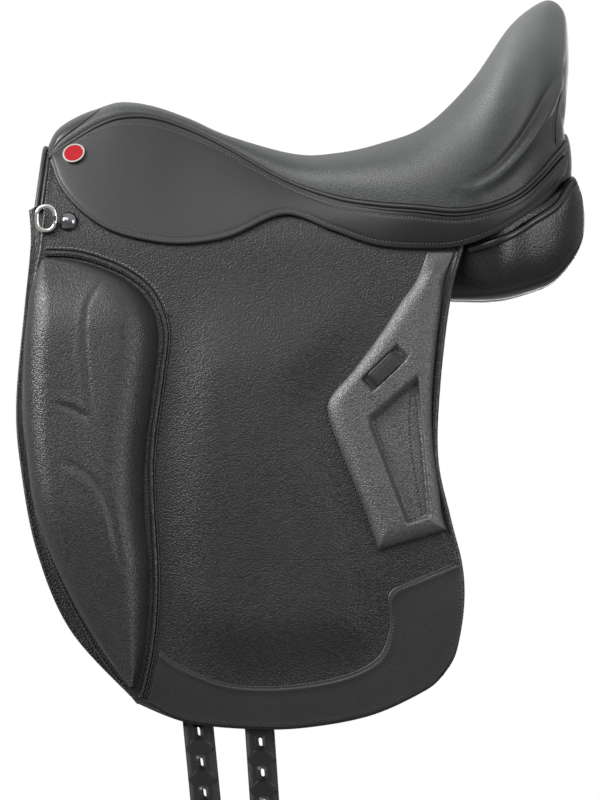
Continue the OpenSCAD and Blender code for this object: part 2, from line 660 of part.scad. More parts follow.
// How far inside the recessed patch a drawn point lies
function patch_inside(p) =
    min([for (i = [0:3]) let (a = patch[i], b = patch[(i + 1) % 4], d = unit(b - a))
        d[0] * (p[1] - a[1]) - d[1] * (p[0] - a[0])]);
function thigh_height(s, t, p) =
    least_pad / 2 + thigh_h * smooth(0, 0.14, min(s, 1 - s)) * smooth(0, 0.08, min(t + 0.02, 1.03 - t))
    - patch_d * smooth(-2, 4, patch_inside(p));
module thigh_block() {
    n = 12;
    m = 16;
    g = across_grid(thigh_front, thigh_rear, n, m);
    h = [for (i = [0:n]) [for (j = [0:m]) let (s = i / n, t = j / m)
        flap_t + gap + thigh_height(s, t, lerp(spline(thigh_front, t), spline(thigh_rear, t), s))]];
    between(moved(g, h), on_flap(g));
}
module thigh_block_left() color(black) left() thigh_block();
module thigh_block_right() color(black) thigh_block();

keeper_end = 7;
module keeper() {
    d = 6;
    out = unit(cross(on_side(keeper_at + [d, 0]) - on_side(keeper_at - [d, 0]),
        on_side(keeper_at - [0, d]) - on_side(keeper_at + [0, d])));
    p = on_side(keeper_at) + out * (flap_t + 2 * gap + least_pad / 2 + thigh_h);
    facing(p, out) rotate(-keeper_turn) difference() {
        translate([-keeper_l / 2, -keeper_w / 2, 0]) cube([keeper_l, keeper_w, 2 * keeper_t]);
        translate([keeper_end - keeper_l / 2, -keeper_w, -1])
            cube([keeper_l - 2 * keeper_end, 2 * keeper_w, keeper_t + 1]);
    }
}
module keeper_left() color(smooth_black) left() keeper();
module keeper_right() color(smooth_black) keeper();

module flap_band() {
    g = down_grid(band_top, band_foot, 24, 3);
    between(moved(g, flap_t + gap + band_t), on_flap(g));
}
module flap_band_left() color(smooth_black) left() flap_band();
module flap_band_right() color(smooth_black) flap_band();

// Panel

panel_round = 2.6;
panel_sides = 14;
panel_rings = 22;
// Point of the panel: u along it, a round it from its outer side
function panel_point(u, a) =
    let (r = spline(panel_rows, u), e = 2 / panel_round, rear = smooth(60, 150, r[0]))
    let (ca = sign(cos(a)) * pow(abs(cos(a)), e), sa = sign(sin(a)) * pow(abs(sin(a)), e))
    let (w = r[3], h = r[4] + panel_swell * rear, y = w * ca * cos(r[5]) + h * sa * sin(r[5]))
    let (z = h * sa * cos(r[5]) - w * ca * sin(r[5]))
    [real_x(r[0]), real_y(r[1] + y), r[2] + z];
module panel()
    loft([for (k = [0:panel_rings]) [for (i = [0:panel_sides - 1])
        panel_point(k / panel_rings, 360 * i / panel_sides)]]);
module panel_left() color(smooth_black) left() panel();
module panel_right() color(smooth_black) panel();

panel_welt_gap = 0.6;
module panel_welt() {
    n = 20;
    path = [for (k = [0:n]) let (f = k / n, u = lerp(0.6, 0.85, f), a = lerp(4, 48, f * f))
        let (p = panel_point(u, a), du = panel_point(u + 0.01, a) - p, da = panel_point(u, a + 2) - p)
        p + unit(cross(da, du)) * (panel_welt_r + panel_welt_gap)];
    tube(path, panel_welt_r, 6, [0, 1, 0.3]);
}
module panel_welt_left() color(smooth_black) left() panel_welt();
module panel_welt_right() color(smooth_black) panel_welt();

// Lining that joins the panels along the gullet
lining_rise = 4;
module gullet_lining() {
    n = 20;
    g = [for (k = [0:n]) let (u = lerp(0.1, 0.86, k / n), p = panel_point(u, 180), y = p[1] - facet_gap)
        [for (j = [-2:2]) [p[0], y * j / 2, p[2] + lining_rise * (1 - j * j / 4)]]];
    color(black) between(moved(g, lining_t / 2), moved(g, -lining_t / 2));
}

// Pocket on the panel for the tree's point
module point_pocket() {
    top = [[pocket_front, 66], [-180, 66]];
    foot = [[-208, 40], [-184, 40]];
    g = moved(down_grid(top, foot, 4, 3), -pocket_depth);
    between(g, moved(g, -pocket_t));
}
module point_pocket_left() color(black) left() point_pocket();
module point_pocket_right() color(black) point_pocket();

// Girth straps and the webs that carry them

function strap_place(k, z) = [strap_x[k] + (bend_z - z) * tan(strap_lean[k]), z];
strap_top = 28;
web_foot = -14;
function strap_side(k, d, z) =
    let (c = strap_place(k, z)) on_side(c + [d * drawn_l / seat_l, 0]);
module girth_strap(k) {
    n = 22;
    tip = 26;
    foot = min([for (p = flap_foot) p[1]]) - strap_free * drawn_flap / flap_l;
    g = [for (i = [-1:1]) [for (j = [0:n]) let (z = lerp(strap_top, foot, j / n))
        strap_side(k, i * strap_w / 2 * (1 - 0.55 * smooth(tip, 0, z - foot)), z)]];
    out = -(strap_room - strap_t) / 2;
    difference() {
        between(moved(g, out), moved(g, out - strap_t));
        for (h = [0:hole_n - 1]) {
            z = hole_z[k] - h * hole_pitch * drawn_flap / flap_l;
            p = strap_side(k, 0, z);
            slot = (hole_h - hole_w) / 2;
            translate([p[0], p[1], p[2]]) rotate([90, 0, 0]) rotate([0, 0, strap_lean[k]])
                linear_extrude(4 * strap_room, center = true) {
                    translate([0, slot]) circle(d = hole_w);
                    translate([0, -slot]) circle(d = hole_w);
                    square([hole_w, 2 * slot], center = true);
                }
        }
    }
}
module girth_strap_front_left() color(black) left() girth_strap(0);
module girth_strap_front_right() color(black) girth_strap(0);
module girth_strap_rear_left() color(black) left() girth_strap(1);
module girth_strap_rear_right() color(black) girth_strap(1);

module strap_web(k) {
    rise = [[73, 62], [64.5, 94], [58, 109]];
    low = [web_foot, 11, 36];
    g = [for (i = [-1:1])
        [for (p = [2, 1, 0]) [real_x(strap_x[k]) + i * web_w / 2, real_y(rise[p][0]), real_z(rise[p][1])],
            for (j = [2, 1, 0])
                strap_side(k, i * web_w / 2, low[j]) - [0, strap_room - (strap_room - strap_t) / 4, 0]]];
    between(moved(g, web_t / 2), moved(g, -web_t / 2));
}
module strap_webs() color(web) for (k = [0, 1]) {
    strap_web(k);
    left() strap_web(k);
}

// D-ring, its stud, and the badge

dee_side = 0.8;
dee_corner = dee_w / 2 - dee_r - dee_side / 2;
eye_l = 4.5;
eye_wall = 1.3;
stud_base = 1.5;
function dee_leg() =
    let (out = side(dee_at[0], dee_at[1] - dee_h / 2) + flap_t + facet_gap + dee_r)
    [real_x(dee_at[0]), out, real_z(dee_at[1])];
module dee() {
    w = dee_w / 2 - dee_r - dee_corner;
    h = dee_h / 2 - dee_r - dee_corner;
    c = dee_leg() - [dee_w / 2 - dee_r, 0, 0];
    color(steel) translate(c) rotate([90, 0, 0]) {
        for (i = [0:3]) {
            a = 90 * i;
            sx = (i == 0 || i == 3) ? w : -w;
            sy = i < 2 ? h : -h;
            translate([sx, sy, 0]) rotate([0, 0, a]) rotate_extrude(angle = 90)
                translate([dee_corner, 0]) circle(dee_r);
        }
        for (s = [-1, 1]) {
            translate([s * (w + dee_corner), -h, 0]) rotate([-90, 0, 0]) cylinder(h = 2 * h, r = dee_r);
            translate([-w, s * (h + dee_corner), 0]) rotate([0, 90, 0]) cylinder(h = 2 * w, r = dee_r);
        }
    }
}
module dee_left() left() dee();
module dee_right() dee();

module dee_stud() {
    leg = dee_leg();
    out = unit([-side_slope, 1, 0.3]);
    p = on_side(stud_at) + out * (flap_t + facet_gap);
    ball = (stud_r * stud_r + stud_h * stud_h) / (2 * stud_h);
    eye_r = dee_r + pin_gap + eye_wall;
    arm = real_x(stud_at[0]) - leg[0] - stud_r;
    color(steel) {
        facing(p, out) {
            cylinder(h = stud_base, r = stud_r);
            translate([0, 0, stud_base]) intersection() {
                translate([0, 0, stud_h - ball]) sphere(ball);
                cylinder(h = stud_h, r = stud_r);
            }
        }
        translate(leg - [0, 0, eye_l / 2]) difference() {
            union() {
                cylinder(h = eye_l, r = eye_r);
                translate([0, -eye_r, 0]) cube([arm + stud_r, eye_r, eye_l]);
            }
            translate([0, 0, -1]) cylinder(h = eye_l + 2, r = dee_r + pin_gap);
        }
    }
}
module dee_stud_left() left() dee_stud();
module dee_stud_right() dee_stud();

// Place and direction of the badge on the skirt
badge_u = 2.2 / 18;
badge_v = 0.39;
function badge_normal() =
    unit(cross(skirt_point(badge_u + 0.01, badge_v) - skirt_point(badge_u - 0.01, badge_v),
        skirt_point(badge_u, badge_v + 0.05) - skirt_point(badge_u, badge_v - 0.05)));
function badge_place() = skirt_point(badge_u, badge_v) + badge_normal() * (skirt_t + 2 * gap);
module badge_rim()
    color(steel) left() facing(badge_place(), badge_normal()) difference() {
        cylinder(h = badge_t, r = badge_r);
        translate([0, 0, badge_t / 2]) cylinder(h = badge_t, r = badge_r - rim_w);
    }
module badge_disc()
    color([0.78, 0.12, 0.18]) left() facing(badge_place(), badge_normal())
        translate([0, 0, badge_t / 2 + gap / 2])
            cylinder(h = badge_t / 2 - gap, r = badge_r - rim_w - gap / 2);

tree_frame();
head_plate();
cantle_plate();
spring_steel_left();
spring_steel_right();
tree_rivets();
stirrup_bar_left();
stirrup_bar_right();
stirrup_catch_left();
stirrup_catch_right();
catch_pins();
seat_webs();
cross_web();
seat_foam();
seat_cover();
seat_welt_left();
seat_welt_right();
skirt_left();
skirt_right();
skirt_lobe_left();
skirt_lobe_right();
cantle_facing();
pommel_facing();
flap_top_left();
flap_top_right();
flap_left();
flap_right();
knee_block_left();
knee_block_right();
knee_welt_left();
knee_welt_right();
thigh_block_left();
thigh_block_right();
keeper_left();
keeper_right();
flap_band_left();
flap_band_right();
sweat_flap_left();
sweat_flap_right();
panel_left();
panel_right();
panel_welt_left();
panel_welt_right();
gullet_lining();
point_pocket_left();
point_pocket_right();
strap_webs();
girth_strap_front_left();
girth_strap_front_right();
girth_strap_rear_left();
girth_strap_rear_right();
dee_left();
dee_right();
dee_stud_left();
dee_stud_right();
badge_rim();
badge_disc();
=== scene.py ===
"""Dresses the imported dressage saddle: leather, stitching, welts and fittings over the CAD frame."""
import math

import bpy
import numpy as np
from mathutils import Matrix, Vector

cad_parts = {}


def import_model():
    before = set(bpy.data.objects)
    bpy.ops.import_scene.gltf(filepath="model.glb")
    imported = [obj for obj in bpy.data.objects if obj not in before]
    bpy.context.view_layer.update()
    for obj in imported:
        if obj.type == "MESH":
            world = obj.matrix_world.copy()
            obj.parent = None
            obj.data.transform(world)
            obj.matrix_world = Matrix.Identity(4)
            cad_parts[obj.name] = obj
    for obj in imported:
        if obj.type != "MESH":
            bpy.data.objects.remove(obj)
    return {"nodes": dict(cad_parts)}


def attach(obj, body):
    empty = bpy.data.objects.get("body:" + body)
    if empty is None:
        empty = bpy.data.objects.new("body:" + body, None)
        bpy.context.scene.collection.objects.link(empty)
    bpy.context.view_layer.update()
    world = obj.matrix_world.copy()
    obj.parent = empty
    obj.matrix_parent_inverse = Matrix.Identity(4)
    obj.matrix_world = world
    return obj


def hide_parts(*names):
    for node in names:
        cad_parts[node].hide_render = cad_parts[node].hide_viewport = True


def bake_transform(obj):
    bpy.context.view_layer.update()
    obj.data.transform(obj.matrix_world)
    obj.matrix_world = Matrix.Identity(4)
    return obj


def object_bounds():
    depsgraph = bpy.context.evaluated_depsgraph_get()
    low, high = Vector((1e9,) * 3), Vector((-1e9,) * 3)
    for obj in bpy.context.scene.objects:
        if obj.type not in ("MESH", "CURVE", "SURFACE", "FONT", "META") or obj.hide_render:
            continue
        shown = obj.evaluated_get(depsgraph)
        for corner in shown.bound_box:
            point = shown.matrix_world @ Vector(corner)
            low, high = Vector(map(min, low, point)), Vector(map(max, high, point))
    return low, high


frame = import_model()
cad_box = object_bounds()

# Sizes in millimetres, most of them as in the part's source
MM = 0.001
GAP = 0.3
BEND_Z = 43
FLAP_L = 424
FLARE = 60
SIDE_SLOPE = 32 / 380
FLAP_T = 4.5
SKIRT_T = 3.5
SWEAT_T = 3.5
STRAP_ROOM = 8
STRAP_T = 4
STRAP_W = 25.4
HOLE_W, HOLE_H, HOLE_PITCH, HOLES = 4.1, 9.5, 27.3, 6
DISH = 24
DISH_EDGE = 0.62
WELT_R = 3.4
KNEE_H = 30
THIGH_H = 9
RECESS_D = 7.5
BAND_T = 1.4
PAD_EDGE = 3
# Distances from a free edge at which a sheet of leather has extra rows: its round edge, then its sewn groove
EDGE_ROWS = (0.25, 0.8, 1.7, 3.2, 4.4, 5.6, 7.5)
# The same for the flap's bound rear edge
BOUND_ROWS = (0.25, 0.8, 1.7, 3.2, 4.8, 5.8, 6.5, 7.2, 8.4, 10.5)
BOUND_AT = 6.5
SEWN_AT = 4.4
# Extra rows at the edges of a block
BLOCK_ROWS = (0.4, 1.2, 2.4)
# Share of a sheet's thickness that its edge is rounded by, and how far in a worn edge shines
EDGE_SHARE = 0.46
WORN_EDGE = 2.2
# Height over the flap's inner face at which pieces are sewn on
SEWN_ON = FLAP_T + GAP
# Rows of stitches: pitch, length of a stitch and radius of the thread
FINE_STITCH = (3.2, 2.4, 0.35)
SKIRT_STITCH = (3.2, 2.4, 0.5)
FLAP_STITCH, BOUND_STITCH = (3.5, 2.6, 0.55), (3.2, 2.6, 0.55)
KNEE_STITCH, NEAR_STITCH = (3.6, 2.9, 0.5), (3.6, 2.9, 0.45)
PATCH_STITCH, THIGH_STITCH = (3.4, 2.7, 0.5), (3.4, 2.8, 0.6)
KEEPER_STITCH = (3.0, 2.3, 0.4)
SWEAT_STITCH = (3.5, 2.7, 0.5)
STITCH_SLANT = 8

# Seat from pommel to cantle: crest x and z, then edge x, y and z
SEAT_ROWS = [
    (-233.5, 134, -231, 46, 127), (-224, 150, -221, 46, 135), (-206, 162, -206, 46, 145),
    (-184, 172, -188, 46, 156), (-166, 176, -168, 47, 163.5), (-140, 172.5, -142, 49, 164),
    (-108, 161.5, -112, 54, 155), (-72, 146, -78, 64, 139), (-14, 131, -23, 84, 108),
    (24, 133, 22, 103, 92), (62, 143, 58, 117, 86), (103, 162, 95, 129, 83),
    (143, 206, 130, 135, 80), (180, 261, 160, 133, 85), (208, 273, 184, 124, 96),
    (226, 256, 203, 105, 113), (230.5, 220, 215, 80, 127), (228, 176, 223, 55, 136),
    (225, 156, 227, 36, 142)]
DISH_ROWS = [(d,) for d in (0, 0, 0, 0, 0, 0, 0, 0.02, 0.15, 0.3, 0.55, 0.85, 1, 0.9, 0.3, 0, 0, 0, 0)]
SKIRT_ROWS = [
    (-232.5, 124.5), (-228, 118), (-220, 97.5), (-204, 78), (-180, 61), (-150, 51.5), (-114, 47.5),
    (-72, 53.5), (-23, 73.4), (20, 60), (58, 47.5), (95, 44.6), (130, 46.5), (160, 56.5), (188, 73),
    (208, 88), (220, 103), (226, 121), (228.5, 134)]
GROUND_ROWS = [
    (-222, 134, -222, 34, 127), (-200, 146, -204, 38, 130), (-165, 156, -168, 40, 135),
    (-110, 143, -114, 46, 128), (-40, 116, -42, 62, 104), (20, 106, 18, 84, 86), (80, 110, 76, 102, 78),
    (130, 140, 126, 112, 78), (168, 186, 158, 110, 84), (196, 228, 178, 98, 96), (209, 234, 194, 82, 112),
    (215, 212, 205, 62, 126), (215, 170, 212, 42, 136), (214, 150, 216, 28, 142)]
GROUND_DISH = [(d,) for d in (0, 0, 0, 0, 0.1, 0.25, 0.45, 0.7, 0.6, 0.3, 0, 0, 0, 0)]
# Panel: x, middle y and z, half width, half depth, tilt
PANEL_ROWS = [
    (-232, 50, 84, 20, 3, 64), (-226, 50, 83, 34, 5, 64), (-196, 50, 75, 43, 6.5, 62),
    (-140, 61, 62, 46, 8, 56), (-95, 63, 55, 44, 8, 50), (-40, 67, 42, 37, 14, 36), (20, 68, 34, 36, 22, 20),
    (80, 69, 34, 36, 32, 8), (125, 74, 37, 41, 38, 3), (165, 81, 43, 47, 44, 0), (195, 74, 52, 40, 46, 0),
    (218, 67, 58, 35, 42, 0), (233, 62, 71, 27, 38, 0), (241, 60, 72, 15, 23, 0), (243.5, 60, 71, 5, 8, 0)]
# Outlines of the side pieces, as x and z
FLAP_FRONT = [
    (-240, 43), (-250, -12), (-254.5, -77), (-252, -130), (-236, -217), (-193, -306), (-153.5, -358)]
FLAP_FOOT = [(-153.5, -358), (-110, -375), (-56, -381), (-5, -380), (54, -369), (102, -347), (118, -333)]
FLAP_REAR = [
    (136, 43), (124.6, -1), (115.5, -77), (113.5, -142), (124.6, -195), (135, -238), (136, -275),
    (129, -314), (118, -333)]
STRIP_TOP = [
    (-231, 121.5), (-215, 116), (-180, 92), (-140, 62), (-98, 56), (-58, 64), (-20, 82), (18, 77), (58, 69),
    (97, 64), (136, 62)]
SWEAT_TOP = [(-250, 83), (-236, 86), (-205, 60), (-165, 38), (-100, 30), (0, 32), (114, 30)]
SWEAT_FRONT = [
    (-250, 83), (-248.5, 50), (-254, -8), (-261, -91), (-256.7, -150), (-242.5, -223), (-212.7, -293),
    (-158, -353)]
SWEAT_FOOT = [(-158, -353), (-110, -368), (-56, -374), (-5, -373), (50, -362), (100, -337)]
SWEAT_REAR = [(114, 30), (106, -77), (104, -142), (115, -195), (126, -240), (122, -300), (100, -337)]
KNEE_FRONT = [
    (-237, 32), (-242, 20), (-247, 3), (-250, -20), (-252.5, -55), (-252.5, -95), (-250, -135), (-243, -185),
    (-228, -230), (-206, -275), (-179, -318), (-158, -345)]
KNEE_REAR = [
    (-231, 34), (-196, 29), (-161, 14), (-140, -9), (-134.5, -40), (-140, -90), (-146, -140), (-146.5, -190),
    (-142, -240), (-144, -290), (-148.5, -326), (-154, -344)]
KNEE_SEAM = [
    (-234, 39), (-209, 38), (-186, 32), (-160, 20.5), (-139, 2), (-127.5, -29), (-131, -69), (-139, -128),
    (-140, -170), (-136, -252), (-140, -310), (-149, -353)]
THIGH_FRONT = [
    (104, 39), (94, 14), (80, -6), (62, -34), (38, -66), (18, -90), (17, -108), (28, -138), (40, -168),
    (51, -196), (61, -224)]
THIGH_REAR = [
    (127, 39), (119, 14), (116, -10), (112.5, -38), (109.5, -68), (108, -94), (108, -116), (110, -142),
    (114, -168), (117, -192), (121, -206)]
# Recess of the thigh block by its corners, the seam in it and the rear edge of the patch sewn into it
PATCH = [(97, -69), (50, -109.5), (85.4, -203), (108, -196)]
PATCH_SEAM = [(86.5, -81.5), (56.5, -108.5), (87.5, -197.5), (98.5, -194)]
PATCH_REAR = [(90.5, -76), (88.5, -97), (88, -117.5), (90.5, -142), (94.3, -165), (99, -194)]
BAND_TOP = [
    (-132, -311), (-117, -323), (-76, -340), (-28, -343), (26, -335), (60, -318), (71, -290), (70.3, -262),
    (92, -250), (128, -235)]
BAND_FOOT = [
    (-143, -357), (-110, -373), (-56, -379), (-5, -378), (54, -367), (101, -346), (117, -332), (128, -313),
    (134.5, -285), (134, -240)]
KEEPER_AT, KEEPER_TURN, KEEPER_L, KEEPER_W, KEEPER_T = (67, -65), 44, 44, 14, 2
STRAP_X, STRAP_LEAN, HOLE_Z = (-141, -74), (5.6, 3.9), (-383.6, -393)
STRAP_TOP, STRAP_FOOT, STRAP_TIP = 28, -566, 26
# Creases in the leather: on the knee block, round the cantle, at the back seam and behind the pommel roll
KNEE_CREASES = [
    [(-179.8, 13.4), (-193, -11.6), (-195.8, -41), (-194, -69), (-191.4, -95), (-187.3, -107.7)],
    [(-219.8, -99.7), (-206, -105), (-193, -112.6)],
    [(-215.4, -150.4), (-199.4, -158), (-183.3, -172.7), (-174.4, -193), (-168.2, -219.8), (-164.7, -239.4)]]
CANTLE_CREASE = [
    (222, 203), (211.5, 183), (203, 166), (188.7, 143.3), (174.4, 125.5), (159.3, 111.3), (143.3, 102.4)]
BACK_SEAM = [
    (228, 218), (226.4, 207.6), (224.1, 187.2), (220.7, 170), (218.4, 153), (218.9, 138), (220.1, 131)]
ROLL_SEAM = [(-231.5, 130), (-222.5, 142), (-209, 153), (-196, 162.5), (-186, 170)]
# Their depth and width, then the height, place and width of the swelling beside them
KNEE_FOLDS = [(1.0, 2.4, 0.5, -5, 4), (1.8, 2.4, 0.6, 5, 4), (1.4, 3.2, 1.2, -7, 5)]
CANTLE_FOLD = (5.0, 3.4, 4.4, 6.5, 3.6)
CANTLE_HOLLOW = (0.0, 1.0, -4.0, 18, 7)
BACK_FOLD = (1.0, 1.8)
ROLL_FOLD = (1.4, 2.2, 1.6, 7, 5)
# Points into which a curve is cut to find the nearest one
CURVE_STEPS = 90


# Curves and surfaces

def lerp(a, b, t):
    return a + (b - a) * t


def smooth(low, high, v):
    t = np.clip((v - low) / (high - low), 0, 1)
    return t * t * (3 - 2 * t)


def unit(v):
    v = np.asarray(v, float)
    return v / np.maximum(np.linalg.norm(v, axis=-1, keepdims=True), 1e-9)


def spline(rows, t):
    """Points of a smooth curve through the rows, with t from 0 to 1 in an array of any shape."""
    rows = np.asarray(rows, float)
    n = len(rows) - 1
    s = np.clip(t, 0, 1) * n
    i = np.minimum(np.floor(s).astype(int), n - 1)
    f = (s - i)[..., None]
    a, b = rows[np.maximum(i - 1, 0)], rows[i]
    c, d = rows[i + 1], rows[np.minimum(i + 2, n)]
    square, cube = 2 * a - 5 * b + 4 * c - d, 3 * b - a - 3 * c + d
    return 0.5 * (2 * b + (c - a) * f + square * f ** 2 + cube * f ** 3)


def side(x, z):
    """Distance of the flap's inner face from the middle plane."""
    base = 92 + SIDE_SLOPE * (x + 240)
    high = np.maximum(z - BEND_Z, 0)
    low = np.maximum(BEND_Z - z, 0) / FLAP_L
    return base - 0.25 * high - 0.0035 * high ** 2 + FLARE * (1.55 * low - 0.6 * low ** 2) / 0.95


def on_side(p):
    return np.stack([p[..., 0], side(p[..., 0], p[..., 1]), p[..., 1]], axis=-1)


def crossed(s, t):
    """Every s with every t, as two grids."""
    return np.broadcast_arrays(s[:, None], t[None, :])


def across_grid(front, rear, s, t):
    """Drawn points between a front and a rear edge, for every s along and every t down."""
    s, t = crossed(s, t)
    return lerp(spline(front, t), spline(rear, t), s[..., None])


def down_grid(top, foot, s, t):
    """The same between an upper and a lower edge."""
    s, t = crossed(s, t)
    return lerp(spline(top, s), spline(foot, s), t[..., None])


def patch(front, rear, top, foot, s, t):
    """The same inside all four edges."""
    front, rear = np.array(front, float), np.array(rear, float)
    upper, lower = (lerp(front[i], rear[i], s[:, None, None]) for i in (0, -1))
    corners = lerp(upper, lower, t[:, None])
    return across_grid(front, rear, s, t) + down_grid(top, foot, s, t) - corners


def normals(g):
    return unit(np.cross(np.gradient(g, axis=0), np.gradient(g, axis=1)))


def reach(g, axis, from_end):
    """Distance along the rows or columns of a grid from their start or end."""
    step = np.linalg.norm(np.diff(g, axis=axis), axis=-1)
    run = np.insert(np.cumsum(step, axis=axis), 0, 0, axis=axis)
    return np.max(run, axis=axis, keepdims=True) - run if from_end else run


def edge_gap(g, *axes):
    """Distance from the nearest end of a grid's rows (axis 0), columns (axis 1) or both."""
    return np.minimum.reduce([reach(g, axis, end) for axis in axes for end in (False, True)])


def lines(n, length, start=(), end=()):
    """Even places from 0 to 1, with extra ones at given distances from either end."""
    extra = [d / length for d in start] + [1 - d / length for d in end]
    room = 0.35 / n
    even = [v for v in np.linspace(0, 1, n + 1) if v in (0, 1) or all(abs(v - e) > room for e in extra)]
    return np.array(sorted(even + extra))


def nearest_line(places, place):
    return int(np.argmin(np.abs(places - place)))


def round_edge(d, r):
    """How far a face has dropped at distance d from an edge of radius r."""
    return r - np.sqrt(np.maximum(r ** 2 - (r - np.minimum(d, r)) ** 2, 0))


def groove(d, at, width, depth):
    return -depth * np.exp(-((d - at) / width) ** 2)


def from_curve(x, z, curve):
    """Distance of drawn points from a curve, below 0 on the right of its way, and their place along it."""
    c = spline(curve, np.linspace(0, 1, CURVE_STEPS))
    way = np.gradient(c, axis=0)
    k = np.argmin((x[..., None] - c[:, 0]) ** 2 + (z[..., None] - c[:, 1]) ** 2, axis=-1)
    dx, dz = x - c[k, 0], z - c[k, 1]
    sign = np.where(way[k, 0] * dz - way[k, 1] * dx >= 0, 1, -1)
    return sign * np.hypot(dx, dz), k / (CURVE_STEPS - 1)


def crease(x, z, curve, depth, width, lip=0.0, lip_at=0.0, lip_width=1.0):
    """Height of a crease along a curve, which runs out at both ends, with a swelling on one side of it."""
    d, along = from_curve(x, z, curve)
    fade = np.sin(np.pi * np.clip(along, 0.02, 0.98)) ** 0.6
    return fade * (lip * np.exp(-((d - lip_at) / lip_width) ** 2) - depth * np.exp(-(d / width) ** 2))


# Pieces of mesh

def new_object(name, data):
    obj = bpy.data.objects.new(name, data)
    bpy.context.scene.collection.objects.link(obj)
    return obj


def sheet_faces(g, thickness, edge, relief=0.0):
    """Outer and inner face of a sheet of leather on a grid, with round edges, and the grid's normals."""
    n = normals(g)
    drop = round_edge(edge, thickness * EDGE_SHARE)
    return g + n * (thickness - drop + relief)[..., None], g + n * drop[..., None], n


def ring_faces(rings, sides, turned=False):
    """Faces round a row of rings and over its two ends. turned swaps their inner and outer side."""
    faces = []
    for i in range(rings - 1):
        for j in range(sides):
            a, b = i * sides + j, i * sides + (j + 1) % sides
            faces.append((a, b, b + sides, a + sides) if turned else (a, a + sides, b + sides, b))
    last = (rings - 1) * sides
    ends = [tuple(range(sides)), tuple(range(last, last + sides))[::-1]]
    return faces + ([f[::-1] for f in ends] if turned else ends)


def along_path(values, run, at):
    """Values given along a path, at other distances along it."""
    return np.stack([np.interp(at, run, values[:, c]) for c in range(3)], axis=1)


